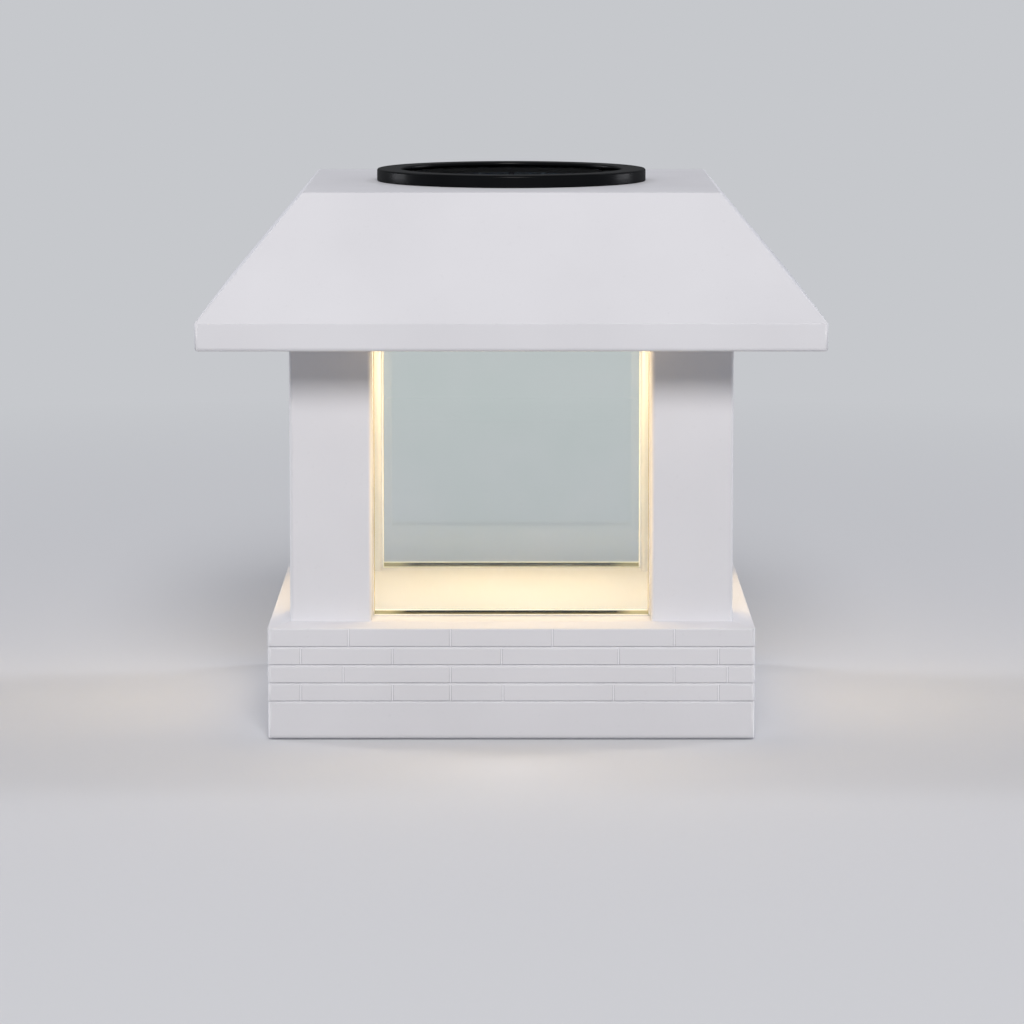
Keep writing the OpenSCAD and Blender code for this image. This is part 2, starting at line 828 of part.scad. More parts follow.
module leds() {
    color("#f3ead2") for (i = [-1 : 1]) translate([i * led_pitch, 0, board_under - led_len])
        rotate_extrude() polygon(concat(
            [[0, led_len - part_gap], [led_d / 2 + 0.4, led_len - part_gap],
                [led_d / 2 + 0.4, led_len - 1], [led_d / 2, led_len - 1]],
            arc([0, led_d / 2], led_d / 2, 0, -90, 6)));
}

module switch_body() {
    color("#b8bbc0") difference() {
        translate([0, switch_y, 0]) block(switch_w, switch_depth, switch_h, board_under - switch_h);
        translate([0, switch_y, 0]) block(knob_w + switch_travel + 2 * knob_play,
            knob_depth + 2 * knob_play, knob_slot_d + 1, board_under - switch_h - 1);
    }
}

module switch_knob() {
    stem_top = board_under - switch_h + knob_slot_d - knob_play;
    color("#e6e6e6") translate([-switch_travel / 2, switch_y, 0]) {
        block(knob_w, knob_depth, stem_top - cup_floor + eps, cup_floor - eps);
        block(knob_head_w, knob_depth, cup_floor - cup_under + knob_reach, cup_under - knob_reach);
    }
}

// ---- Battery ----

module battery_cell() {
    body_len = battery_len - battery_nub_len;
    start = bay_half - contact_t - battery_len;
    color("#2f6fb0") translate([start, bay_offset, battery_z]) rotate([0, 90, 0]) rotate_extrude() polygon([
        [0, 0], [battery_d / 2 - 0.5, 0], [battery_d / 2, 0.5], [battery_d / 2, body_len - 0.5],
        [battery_d / 2 - 0.5, body_len], [battery_d / 5, body_len], [battery_d / 5, battery_len],
        [0, battery_len]]);
}

spring_turns = 4;
spring_rings = 8;

module battery_spring() {
    coil_r = (spring_d - spring_wire_d) / 2;
    weld = 0.1;
    first = contact_t - bay_half + spring_wire_d / 2 - weld;
    rise = spring_len - spring_wire_d + weld;
    count = spring_turns * spring_rings;
    path = [for (i = [0 : count]) [
        first + rise * i / count,
        bay_offset + coil_r * cos(360 * i / spring_rings),
        battery_z + coil_r * sin(360 * i / spring_rings)]];
    gaps = [for (i = [0 : count - spring_rings]) norm(path[i + spring_rings] - path[i]) - spring_wire_d];
    echo(least_spring_gap = min(gaps));
    color("#c9ccd0") {
        tube(path, spring_wire_d / 2, 6, [1, 0, 0]);
        translate([contact_t / 2 - bay_half, bay_offset, 0]) contact_plate();
    }
}

// A contact plate with its solder tab, which stands up through the bay's roof
module contact_plate() {
    block(contact_t, bay_w - 1, battery_d - 1, battery_z - battery_d / 2 + 0.5);
    block(contact_t, contact_w, tab_top - battery_z, battery_z);
}

module battery_contact() {
    color("#c9ccd0") translate([bay_half - contact_t / 2, bay_offset, 0]) contact_plate();
}

module battery_door() {
    grip_h = 0.5;
    color("#26282b") translate([0, bay_offset, 0]) {
        block(2 * door_half_len, 2 * door_half_w, door_t, door_under);
        for (i = [0 : 4]) translate([door_half_len - 4 - 2 * i, 0, 0])
            block(0.9, door_half_w, grip_h + eps, door_under - grip_h);
    }
}

// ---- Leads ----

module lead(points) {
    tube(smooth_route(points, 3), lead_d / 2, 8, [1, 0, 0]);
}

// Where the leads meet the control board, and how far their ends stay off what they join
pad_y = -7;
solar_pad_x = 16;
battery_pad_x = 19;
lead_gap = 0.1;
lead_start = board_top + lead_gap;

// The straight stub at a lead's end, and the unit that its route is laid out in
stub = 2;

module solar_lead(x) {
    top = backing_under - lead_gap;
    lead([[x, pad_y, lead_start], [x, pad_y, lead_start + stub],
        [0.92 * x, pad_y + 0.2 * stub, board_top + 3 * stub],
        [0.6 * x, pad_y + 0.8 * stub, top - 2.5 * stub],
        [0.5 * x, pad_y + stub, top - stub], [0.5 * x, pad_y + stub, top]]);
}

module battery_lead(side) {
    tab_x = side * (bay_half - contact_t - lead_d / 2 - 2 * lead_gap);
    tab_z = tab_top - lead_d / 2 - lead_gap;
    pad_x = side * battery_pad_x;
    start_y = pad_y - 1.5 * stub;
    lead([[pad_x, start_y, lead_start], [pad_x, start_y, lead_start + stub],
        [pad_x, start_y + 0.3 * stub, lead_start + 2 * stub],
        [pad_x, pad_y + 2 * stub, board_top + 3.2 * stub],
        [pad_x + side * 0.5 * stub, pad_y + 6 * stub, tab_z + 0.25 * stub],
        [tab_x - side * 0.3 * stub, bay_offset - 2 * stub, tab_z + 0.1 * stub],
        [tab_x, bay_offset - 0.5 * stub, tab_z], [tab_x, bay_offset + stub, tab_z]]);
}

module solar_lead_red() { color("#b3202a") solar_lead(solar_pad_x); }
module solar_lead_black() { color("#151515") solar_lead(-solar_pad_x); }
module battery_lead_red() { color("#b3202a") battery_lead(1); }
module battery_lead_black() { color("#151515") battery_lead(-1); }

post_skirt();
column_front_left();
column_front_right();
column_back_left();
column_back_right();
pane_front();
pane_back();
pane_left();
pane_right();
ceiling_plate();
roof_shell();
light_reflector();
light_diffuser();
reflector_screws();
column_screws_lower();
column_screws_upper();
roof_screws();
solar_bezel();
solar_cover();
solar_cells();
cell_backing();
module_cup();
module_seal();
cup_screws();
control_board();
board_parts();
board_screws();
leds();
switch_body();
switch_knob();
battery_cell();
battery_spring();
battery_contact();
battery_door();
solar_lead_red();
solar_lead_black();
battery_lead_red();
battery_lead_black();
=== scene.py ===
# %% [markdown]
# # A deck post cap light
#
# The real object is a white moulded lantern that drops over the top of a square deck post.
# A skirt with a brick pattern fits round the post, four square columns carry a sloped roof,
# clear glass stands between the columns, and a round solar module sits in the roof's flat top.
#
# The construction is already settled: every piece arrives at its real size, in metres.
# This notebook gives each piece its finish, rounds the edges that a mould can't make sharp,
# and adds the small repeated parts, such as threaded screws and the silver lines of the cells.

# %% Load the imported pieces
import json
import math

import bmesh
import bpy
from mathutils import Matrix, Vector


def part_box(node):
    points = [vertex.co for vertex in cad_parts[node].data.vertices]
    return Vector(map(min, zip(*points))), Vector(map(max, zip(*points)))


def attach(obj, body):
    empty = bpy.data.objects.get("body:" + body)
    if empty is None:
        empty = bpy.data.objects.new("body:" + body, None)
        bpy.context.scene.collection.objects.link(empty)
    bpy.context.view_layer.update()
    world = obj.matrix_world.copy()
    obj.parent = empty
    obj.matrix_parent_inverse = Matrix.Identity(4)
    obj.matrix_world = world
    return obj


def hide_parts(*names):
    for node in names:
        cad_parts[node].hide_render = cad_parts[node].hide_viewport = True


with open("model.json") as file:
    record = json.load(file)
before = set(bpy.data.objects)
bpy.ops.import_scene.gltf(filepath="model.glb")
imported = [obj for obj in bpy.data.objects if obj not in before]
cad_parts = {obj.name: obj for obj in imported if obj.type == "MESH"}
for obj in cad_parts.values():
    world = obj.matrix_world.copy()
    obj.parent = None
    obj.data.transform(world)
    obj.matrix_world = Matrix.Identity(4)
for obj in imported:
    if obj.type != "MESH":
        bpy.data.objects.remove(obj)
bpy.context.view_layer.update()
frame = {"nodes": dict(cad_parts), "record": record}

nodes = frame["nodes"]
MM = 0.001

# %% [markdown]
# ## The camera
#
# A photographer far away with a long lens flattens the object, and one close by stretches it.
# The lens and the distance could be guessed by eye, but then every edge is a little off.
# Here they come from lining up the known sizes with the edges of the picture: a 165 mm lens,
# 1.44 m in front of the lantern, looking down by 7.35 degrees.

# %% Set up the camera
camera_data = bpy.data.cameras.new("camera")
camera_data.lens = 165.35
camera_data.sensor_width = 36
camera = bpy.data.objects.new("camera", camera_data)
camera.location = (0.0002, -1.4386, 0.2440)
camera.rotation_euler = (math.radians(90 - 7.353), 0, 0)
bpy.context.scene.collection.objects.link(camera)
bpy.context.scene.camera = camera
bpy.context.scene.view_settings.view_transform = "Standard"

# %% [markdown]
# ## Tools for the finishes
#
# Colours are written as hex codes, as a paint chart gives them. A shader wants linear values,
# so one function converts them. Another small function adds a node and wires it up, which
# keeps each recipe short enough to read as a list of what the material is made of.

# %% Colour and node helpers
def linear(code):
    """The linear colour of an sRGB hex code."""
    shares = [int(code[i:i + 2], 16) / 255 for i in (1, 3, 5)]
    return (*(c / 12.92 if c <= 0.04045 else ((c + 0.055) / 1.055) ** 2.4 for c in shares), 1.0)


def wire(tree, source, socket):
    """Feeds a socket with a plain value, an output, or a node's first output that is in use."""
    if isinstance(source, bpy.types.Node):
        source = next(output for output in source.outputs if output.enabled)
    if isinstance(source, bpy.types.NodeSocket):
        tree.links.new(source, socket)
    else:
        socket.default_value = source


def add(tree, kind, inputs=None, **settings):
    """Adds a node with its settings. Inputs go by name or number, and a list feeds one twice."""
    node = tree.nodes.new(kind)
    for name, value in settings.items():
        setattr(node, name, value)
    for name, value in (inputs or {}).items():
        socket = node.inputs[name] if isinstance(name, int) else next(
            given for given in node.inputs if given.enabled and given.name == name)
        for source in value if isinstance(value, list) else [value]:
            wire(tree, source, socket)
    return node


# %% [markdown]
# Nearly every moulded, plated or ground surface here varies in the same two ways. Cloudy
# patches make it a little darker and duller in places, and a finer grain breaks up what it
# mirrors. Two recipes hold that, a third puts both on a new material, and every finish below
# names its sizes in millimetres.

# %% Recipes that the finishes share
SWING = {"From Min": 0.3, "From Max": 0.7}      # nearly all of a noise's values lie between


def finish_named(name, **sockets):
    """A new material: its tree, its Principled shader and the piece's own coordinates."""
    material = bpy.data.materials.new(name)
    material.use_nodes = True
    tree = material.node_tree
    tree.nodes.clear()
    shader = add(tree, "ShaderNodeBsdfPrincipled", {
        socket.replace("_", " "): value for socket, value in sockets.items()})
    add(tree, "ShaderNodeOutputMaterial", {"Surface": shader})
    place = add(tree, "ShaderNodeTexCoord").outputs["Object"]
    return material, tree, shader, place


def feed(tree, shader, **sources):
    """Feeds the shader's sockets; underscores stand for spaces."""
    for name, source in sources.items():
        wire(tree, source, shader.inputs[name.replace("_", " ")])


def mottled(tree, shader, place, size_mm, colours, roughness, detail=4, tint_swing=SWING):
    """Clouds about size_mm across swing the colour and the roughness between two values."""
    clouds = add(tree, "ShaderNodeTexNoise", {
        "Vector": place, "Scale": 1 / (size_mm * MM), "Detail": detail})
    share = add(tree, "ShaderNodeMapRange", {"Value": clouds, **tint_swing})
    dark, light = colours
    tint = add(tree, "ShaderNodeMix", {
        "Factor": share, "A": linear(dark), "B": linear(light)}, data_type="RGBA")
    sleek, dull = roughness
    gloss = add(tree, "ShaderNodeMapRange", {
        "Value": clouds, **SWING, "To Min": sleek, "To Max": dull})
    feed(tree, shader, Base_Color=tint, Roughness=gloss)


def grained(tree, shader, place, size_mm, depth_mm, detail=2):
    """A grain that is too shallow to model, drawn as bump."""
    grain = add(tree, "ShaderNodeTexNoise", {
        "Vector": place, "Scale": 1 / (size_mm * MM), "Detail": detail})
    relief = add(tree, "ShaderNodeBump", {"Height": grain, "Distance": depth_mm * MM})
    feed(tree, shader, Normal=relief)


def varied(name, size_mm, colours, roughness, detail=4, grain=None, **sockets):
    """A mottled material. A grain, if it has one, is given by its size and depth in mm."""
    material, tree, shader, place = finish_named(name, **sockets)
    mottled(tree, shader, place, size_mm, colours, roughness, detail)
    if grain:
        grained(tree, shader, place, *grain)
    return material


# %% [markdown]
# ## White moulded ABS
#
# The housing is ABS, injected into a steel mould that was lightly spark-eroded. That leaves
# a satin skin: a grain of a few tenths of a millimetre that breaks up reflections, and cloudy
# patches where the melt cooled at its own pace. A flat white would look like paper. The grain
# is drawn as bump, since it is under 0.01 mm deep, and the patches as a small shift of the
# cool white. A full mirror layer would turn the flat top grey at a low angle, so the gloss is
# a thin coat.

# %% White ABS
def moulded_white_abs(name, fresh, aged, speck_tint):
    material, tree, shader, place = finish_named(
        name, IOR=1.53, Specular_IOR_Level=0.0, Coat_Weight=0.22, Coat_Roughness=0.3,
        Coat_IOR=1.5)
    cloud = add(tree, "ShaderNodeTexNoise", {
        "Vector": place, "Scale": 1 / (45 * MM), "Detail": 3})
    speck = add(tree, "ShaderNodeTexNoise", {
        "Vector": place, "Scale": 1 / (1.6 * MM), "Detail": 4, "Roughness": 0.6})
    share = add(tree, "ShaderNodeMapRange", {"Value": cloud, **SWING})
    patchy = add(tree, "ShaderNodeMix", {
        "Factor": share, "A": linear(aged), "B": linear(fresh)}, data_type="RGBA")
    rare = add(tree, "ShaderNodeMapRange", {
        "Value": speck, "From Min": 0.62, "From Max": 0.8, "To Max": 0.3})
    speckled = add(tree, "ShaderNodeMix", {
        "Factor": rare, "A": patchy, "B": linear(speck_tint)}, data_type="RGBA")
    satin = add(tree, "ShaderNodeMapRange", {
        "Value": speck, **SWING, "To Min": 0.38, "To Max": 0.5})
    feed(tree, shader, Base_Color=speckled, Roughness=satin)
    grained(tree, shader, place, 0.45, 0.008)
    return material


white_abs = moulded_white_abs("moulded_white_abs", "#e2e2e6", "#dddde1", "#d0d0d4")
# Painted highlight: a lighter copy of the white for the floors of the upright joints.
joint_painted_highlight_white = moulded_white_abs("joint_abs_painted_highlight", "#f0f0f4", "#eaeaee", "#dedee2")
# Painted shade: a darker copy of the white for the walls of the upright joints.
joint_wall_painted_shade_white = moulded_white_abs("joint_wall_abs_painted_shade", "#c2c2c7", "#b8b8bd", "#acacb1")

# %% [markdown]
# ## Clear glass
#
# The panes are float glass, 3 mm thick: nearly colourless face on, and bottle green along an
# edge, where the eye looks through many centimetres of it. The slab refracts light on its own,
# so the shader only needs the index of soda-lime glass, 1.52. The edges are ground and then
# half polished, and get finishes of their own: marks of the grinding wheel, drawn out along
# the edge, a tint that is partly the glass's own and partly painted warm light, and a faint
# painted glow for the light that the slab carries there. The bright arrises are painted
# highlights.

# %% Glass faces and ground edges
SODA_LIME = 1.52
MARKS_MM = 0.8      # how far apart the marks of the grinding wheel are


def cut_glass(name, drawn_out, colours, clear, glow):
    """A ground edge with a painted glow. Its marks are drawn out along each axis by the given
    factors.
    """
    material, tree, shader, place = finish_named(
        name, IOR=SODA_LIME, Transmission_Weight=clear, Emission_Color=linear("#ffefcb"),
        Emission_Strength=glow)
    shrunk = tuple(1 / factor for factor in drawn_out)
    spot = add(tree, "ShaderNodeVectorMath", {0: place, 1: shrunk}, operation="MULTIPLY")
    mottled(tree, shader, spot, MARKS_MM, colours, (0.12, 0.3),
            tint_swing={"From Min": 0.4, "From Max": 0.66})
    return material


# %% The bevelled foot of a pane
# The olive line and ends are painted light, and the black middle is painted shade.
OLIVE_LINE = {"From Min": 34.9 * MM, "From Max": 35.15 * MM}      # heights
OLIVE_ENDS = {"From Min": 31 * MM, "From Max": 36 * MM}           # from a pane's middle


def bevelled_foot():
    """Painted shade and light for what the bevel refracts: nearly black in the middle of a pane,
    olive at its ends and along its lower line.
    """
    material, tree, shader, place = finish_named(
        "foot_bevel_painted_light_and_shade", IOR=SODA_LIME, Transmission_Weight=0.2)
    spot = add(tree, "ShaderNodeVectorMath", {0: place, 1: (1 / 25, 1 / 25, 1)},
               operation="MULTIPLY")
    marks = add(tree, "ShaderNodeTexNoise", {
        "Vector": spot, "Scale": 1 / (MARKS_MM * MM), "Detail": 4})
    share = add(tree, "ShaderNodeMapRange", {"Value": marks, **SWING})
    black = add(tree, "ShaderNodeMix", {
        "Factor": share, "A": linear("#0b0f0d"), "B": linear("#2a3128")}, data_type="RGBA")
    olive = add(tree, "ShaderNodeMix", {
        "Factor": share, "A": linear("#8d8c58"), "B": linear("#ddd0a0")}, data_type="RGBA")

    axes = add(tree, "ShaderNodeSeparateXYZ", {0: place}).outputs
    height = add(tree, "ShaderNodeMath", {0: marks, 1: 0.5 * MM, 2: axes["Z"]},
                 operation="MULTIPLY_ADD")
    low = add(tree, "ShaderNodeMapRange", {
        "Value": height, **OLIVE_LINE, "To Min": 1, "To Max": 0})
    edged = add(tree, "ShaderNodeMix", {
        "Factor": low, "A": black, "B": linear("#8a7c50")}, data_type="RGBA")

    x_aside = add(tree, "ShaderNodeMath", {0: axes["X"]}, operation="ABSOLUTE")
    y_aside = add(tree, "ShaderNodeMath", {0: axes["Y"]}, operation="ABSOLUTE")
    aside = add(tree, "ShaderNodeMath", {0: x_aside, 1: y_aside}, operation="MINIMUM")
    end = add(tree, "ShaderNodeMapRange", {"Value": aside, **OLIVE_ENDS})
    whole = add(tree, "ShaderNodeMix", {"Factor": end, "A": edged, "B": olive}, data_type="RGBA")
    gloss = add(tree, "ShaderNodeMapRange", {
        "Value": marks, **SWING, "To Min": 0.1, "To Max": 0.25})
    feed(tree, shader, Base_Color=whole, Roughness=gloss)
    return material


clear_glass = varied("float_glass", 25, ("#f5faf7", "#f9fcfa"), (0.0, 0.012), detail=3,
                     IOR=SODA_LIME, Transmission_Weight=1.0)
# Painted shade and light: the foot bevel's dark band and olive ends stand for what it refracts.
foot_bevel_painted_light_and_shade = bevelled_foot()
# Side edges: partly the glass's own tint, partly painted warm light, with a painted glow.
side_edge_tint_and_painted_glow = cut_glass("side_edge_tint_and_painted_glow", (1, 1, 30), ("#a89c72", "#dccb9a"), 0.4, 0.2)
# Painted highlight: a near-white arris with a painted glow.
arris_painted_highlight = cut_glass("arris_painted_highlight", (18, 18, 18), ("#f3efe2", "#fffdf4"), 0.1, 0.3)

# %% [markdown]
# ## The light
#
# Three warm LEDs shine down through a disc of frosted polycarbonate. Lamps could stand in for
# them, but the disc itself is what glows, and it lights the chamber as softly as the real one.
# Both the disc and the lenses give off light at about 2900 K.

# %% Frosted diffuser and LED lenses
WARM_LIGHT = "#ffdfa9"
diffuser_finish = varied("frosted_polycarbonate", 0.7, ("#f3ead8", "#fbf5e8"), (0.55, 0.75),
                         detail=3, grain=(0.7, 0.02, 3), IOR=1.58,
                         Emission_Color=linear(WARM_LIGHT), Emission_Strength=1.6)
led_finish = varied("led_epoxy", 2.5, ("#f4e2ad", "#fbf0cf"), (0.05, 0.12), detail=2,
                    IOR=1.54, Emission_Color=linear(WARM_LIGHT), Emission_Strength=4.0)

# %% [markdown]
# ## The black plastics
#
# The rim round the solar window is black ABS, lightly waxed, and the cup below it is the same
# plastic with a coarse spark texture, because nobody sees it when it is seated. A full mirror
# coat would turn the rim grey at the shallow angle that it is mostly seen from, so its shine
# comes from a thin coat alone. The cup keeps the plain reflection of a bare plastic, and the
# ring between them is nitrile rubber, dull with dust.

# %% Rim, cup and seal
rim_finish = varied("waxed_black_abs", 18, ("#08090a", "#0f1012"), (0.4, 0.5),
                    grain=(0.5, 0.006), IOR=1.5, Specular_IOR_Level=0.0, Coat_Weight=0.13,
                    Coat_Roughness=0.22, Coat_IOR=1.5, Coat_Tint=linear("#dfe6f5"))
cup_finish = varied("textured_black_abs", 18, ("#18191b", "#222326"), (0.45, 0.6),
                    grain=(0.8, 0.03), IOR=1.5)
seal_finish = varied("nitrile_rubber", 3, ("#0f1011", "#1d1e20"), (0.5, 0.7), IOR=1.52)

# %% [markdown]
# ## Solar window and cells
#
# The window is tempered glass with an anti-reflection coat, so that nearly all the light goes
# in. That is why it looks black: its index is set to that of air, and a faint coat is all the
# gloss it has. Silicon is nearly black with a blue nitride layer, which soaks up light at every
# angle, so it has no mirror layer at all. Its silver lines are real strips, made further on.

# %% Window, silicon and silver
cover_finish = varied("anti_reflection_glass", 14, ("#8b9299", "#a1a8ae"), (0.03, 0.08),
                      IOR=1.0, Transmission_Weight=1.0, Coat_Weight=0.02, Coat_Roughness=0.06,
                      Coat_IOR=1.5)
cell_finish = varied("silicon_cell", 9, ("#0b1322", "#121e33"), (0.28, 0.4), detail=3,
                     IOR=1.5, Specular_IOR_Level=0.0)
silver_finish = varied("printed_silver", 0.4, ("#6e747a", "#878d92"), (0.4, 0.55), detail=3,
                       IOR=1.5, Specular_IOR_Level=0.0)

# %% [markdown]
# ## Boards and their parts
#
# The boards are glass-filled epoxy under a solder mask, with copper tracks that show through it
# as paler lines. The mask is green inside, and black behind the cells, where the window shows
# it. The parts on them are black epoxy, a coil of lacquered copper on ferrite and a capacitor
# in an aluminium can. All of this is hidden until the module is opened.

# %% Circuit boards and board parts
GLAZE_MM = 4      # the solder mask's shine wavers over this distance


def solder_mask(name, field, other_field, track):
    material, tree, shader, place = finish_named(name, IOR=1.55)
    tracks = add(tree, "ShaderNodeTexBrick", {
        "Vector": place, "Scale": 1 / (2.5 * MM), "Mortar Size": 0.06,
        "Color1": linear(field), "Color2": linear(other_field), "Mortar": linear(track),
        "Brick Width": 1.6, "Row Height": 0.5}, offset=0.35)
    glaze = add(tree, "ShaderNodeTexNoise", {"Vector": place, "Scale": 1 / (GLAZE_MM * MM)})
    gloss = add(tree, "ShaderNodeMapRange", {
        "Value": glaze, **SWING, "To Min": 0.18, "To Max": 0.3})
    feed(tree, shader, Base_Color=tracks, Roughness=gloss)
    grained(tree, shader, place, GLAZE_MM, 0.02)
    return material


board_finish = solder_mask("green_solder_mask", "#1d5236", "#1a4a31", "#3f8a5c")
backing_finish = solder_mask("black_solder_mask", "#0d0f10", "#0b0c0d", "#17191b")
package_finish = varied("epoxy_package", 0.6, ("#1c1c1e", "#2b2b2d"), (0.45, 0.65),
                        grain=(0.6, 0.02, 4), IOR=1.5)

# %% [markdown]
# ## Metals, sleeves and leads
#
# Screws are zinc plated, which looks cloudy and slightly blue. Contacts and the spring are
# nickel plated, warmer and smoother. A metal's colour is its reflection, so all of them keep
# the default index. The battery's sleeve, the switch knob and the leads are soft plastics, and
# differ in colour and in how much they shine.

# %% Zinc, nickel, shrink sleeve and insulation
def soft_plastic(name, colours, roughness):
    return varied(name, 5, colours, roughness, detail=3, grain=(0.6, 0.01), IOR=1.53)


zinc = varied("zinc_plated_steel", 1.5, ("#a9adb3", "#c6c9cd"), (0.25, 0.4), Metallic=1.0)
nickel = varied("nickel_plated_steel", 2.5, ("#c2beb4", "#d6d3cb"), (0.15, 0.25), Metallic=1.0)
aluminium = varied("drawn_aluminium", 2.0, ("#b9bbbd", "#cfd1d2"), (0.25, 0.35), Metallic=1.0)
copper_wire = varied("lacquered_copper", 0.5, ("#a3542c", "#c0693a"), (0.2, 0.32), Metallic=1.0)
sleeve_finish = soft_plastic("pvc_shrink_sleeve", ("#24598f", "#2d679f"), (0.22, 0.3))
knob_finish = soft_plastic("white_acetal", ("#e4e4e2", "#eeeeec"), (0.3, 0.4))
red_lead = soft_plastic("red_pvc_insulation", ("#a31d24", "#b5262d"), (0.3, 0.42))
black_lead = soft_plastic("black_pvc_insulation", ("#131314", "#1e1e20"), (0.3, 0.42))
print("finishes:", len(bpy.data.materials))

# %% [markdown]
# ## Which piece wears what
#
# A table says it at a glance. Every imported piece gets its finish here; pieces that are made
# again below take theirs from the same table.

# %% Assign the finishes
WEARS = {
    "post_skirt": white_abs, "column_front_left": white_abs, "column_front_right": white_abs,
    "column_back_left": white_abs, "column_back_right": white_abs, "ceiling_plate": white_abs,
    "roof_shell": white_abs, "light_reflector": white_abs,
    "pane_front": clear_glass, "pane_back": clear_glass, "pane_left": clear_glass,
    "pane_right": clear_glass, "light_diffuser": diffuser_finish, "leds": led_finish,
    "solar_bezel": rim_finish, "solar_cover": cover_finish, "solar_cells": cell_finish,
    "cell_backing": backing_finish, "control_board": board_finish, "board_parts": package_finish,
    "module_cup": cup_finish, "battery_door": cup_finish, "module_seal": seal_finish,
    "reflector_screws": zinc, "column_screws_lower": zinc, "column_screws_upper": zinc,
    "roof_screws": zinc, "cup_screws": zinc, "board_screws": zinc,
    "switch_body": nickel, "battery_spring": nickel, "battery_contact": nickel,
    "switch_knob": knob_finish, "battery_cell": sleeve_finish,
    "solar_lead_red": red_lead, "battery_lead_red": red_lead,
    "solar_lead_black": black_lead, "battery_lead_black": black_lead,
}
for name, node in nodes.items():
    node.data.materials.clear()
    node.data.materials.append(WEARS[name])

body_of = {name: body for body, names in frame["record"]["behaviour"]["bodies"].items()
           for name in names}

# %% [markdown]
# ## Rounded edges
#
# No moulded edge is perfectly sharp: each has a small radius that catches a thin line of light.
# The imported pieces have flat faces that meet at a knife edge. So a copy is merged, its flat
# triangles are joined, and a Bevel modifier rounds only the long outward edges. Weighted
# normals then keep the big faces flat, so that only the rounding shades.

# %% A helper that rounds a piece's long edges
def everywhere(spot):
    return True


def middle_of(edge):
    return (edge.verts[0].co + edge.verts[1].co) / (2 * MM)


def merged_copy(name, joined_where=everywhere):
    """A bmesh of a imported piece: doubles merged, and flat triangles joined where asked."""
    shape = bmesh.new()
    shape.from_mesh(nodes[name].data)
    bmesh.ops.remove_doubles(shape, verts=shape.verts, dist=0.002 * MM)
    bmesh.ops.dissolve_limit(
        shape, angle_limit=math.radians(0.5),
        verts=[vert for vert in shape.verts if joined_where(vert.co / MM)],
        edges=[edge for edge in shape.edges if joined_where(middle_of(edge))])
    return shape


def new_piece(name, shape):
    """An object at the origin with the bmesh as its mesh."""
    mesh = bpy.data.meshes.new(name)
    shape.to_mesh(mesh)
    shape.free()
    piece = bpy.data.objects.new(name, mesh)
    bpy.context.scene.collection.objects.link(piece)
    return piece


def applied(piece):
    """The piece with its modifiers turned into a plain mesh."""
    view = bpy.context.evaluated_depsgraph_get()
    mesh = bpy.data.meshes.new_from_object(piece.evaluated_get(view))
    piece.modifiers.clear()
    piece.data = mesh
    return piece


def stand_in(piece, name, finish=None, crease=35):
    """Smooths the piece's round parts and lets it stand for a packed one."""
    mesh = piece.data
    mesh.polygons.foreach_set("use_smooth", [True] * len(mesh.polygons))
    mesh.set_sharp_from_angle(angle=math.radians(crease))
    if finish:
        mesh.materials.clear()
        mesh.materials.append(finish)
    weighted = piece.modifiers.new("weighted_normals", "WEIGHTED_NORMAL")
    weighted.keep_sharp = True
    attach(piece, body_of[name])
    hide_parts(name)
    return piece


def softened(name, radius_mm, least_mm=4.0, steps=3, radius_at=None,
             joined_where=everywhere, rounded_where=everywhere):
    """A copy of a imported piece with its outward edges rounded, which stands for it."""
    shape = merged_copy(name, joined_where)
    weights = shape.edges.layers.float.new("bevel_weight_edge")
    rounded = 0
    for edge in shape.edges:
        if len(edge.link_faces) != 2 or edge.calc_length() < least_mm * MM:
            continue
        middle = middle_of(edge)
        if edge.calc_face_angle_signed() > math.radians(25) and rounded_where(middle):
            edge[weights] = (radius_at(middle) if radius_at else radius_mm) / radius_mm
            rounded += 1
    piece = new_piece(name + "_soft", shape)
    bevel = piece.modifiers.new("rounding", "BEVEL")
    bevel.width = radius_mm * MM
    bevel.segments = steps
    bevel.limit_method = "WEIGHT"
    bevel.use_clamp_overlap = False
    stand_in(applied(piece), name, WEARS[name])
    print(f"{piece.name}: {rounded} edges rounded, {len(piece.data.polygons)} faces")
    return piece


def paint(piece, finish, chosen):
    """Gives a second finish to the faces that the test picks."""
    piece.data.materials.append(finish)
    last = len(piece.data.materials) - 1
    count = 0
    for face in piece.data.polygons:
        if chosen(face.center / MM, face.normal):
            face.material_index = last
            count += 1
    print(f"{piece.name}: {count} faces in {finish.name}")


# %% [markdown]
# ## The white housing
#
# The roof's hips and the rim of its flat top have a radius of about half a millimetre. The
# bricks of the skirt have a much smaller one, so that each course keeps a crisp lip. The
# columns are rounded where they stand on the deck. The floor of each upright joint is painted
# a lighter white, a painted highlight that makes the joint read as a pale line, and its two
# walls a darker white, painted shade. Under the deck the faces stay flat, because smooth
# shading across a rib or a joint's floor would draw dark triangles there.

# %% Round the roof
HIP_RADIUS, LEDGE_RADIUS, LIP_RADIUS, COLUMN_RADIUS = 0.45, 0.22, 0.12, 0.5      # in mm


def reach_of(spot):
    """How far a spot is from the middle of the square plan."""
    return max(abs(spot.x), abs(spot.y))


roof_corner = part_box("roof_shell")[1] / MM
SLOPE_FOOT, FLAT_HALF = 124.6, 61.2      # where the slopes start, and half the flat top
slope_run = (roof_corner.x - FLAT_HALF) / (roof_corner.z - SLOPE_FOOT)


def on_roof_skin(spot):
    """True near the roof's outside, and not in the hollow under it."""
    outside = roof_corner.x - slope_run * max(0, spot.z - SLOPE_FOOT)
    return spot.z > roof_corner.z - 0.1 or reach_of(spot) > outside - 0.6


softened("roof_shell", HIP_RADIUS, least_mm=6, joined_where=on_roof_skin,
         rounded_where=lambda spot: on_roof_skin(spot) and spot.z > SLOPE_FOOT - 1
         and reach_of(spot) > FLAT_HALF - 1)

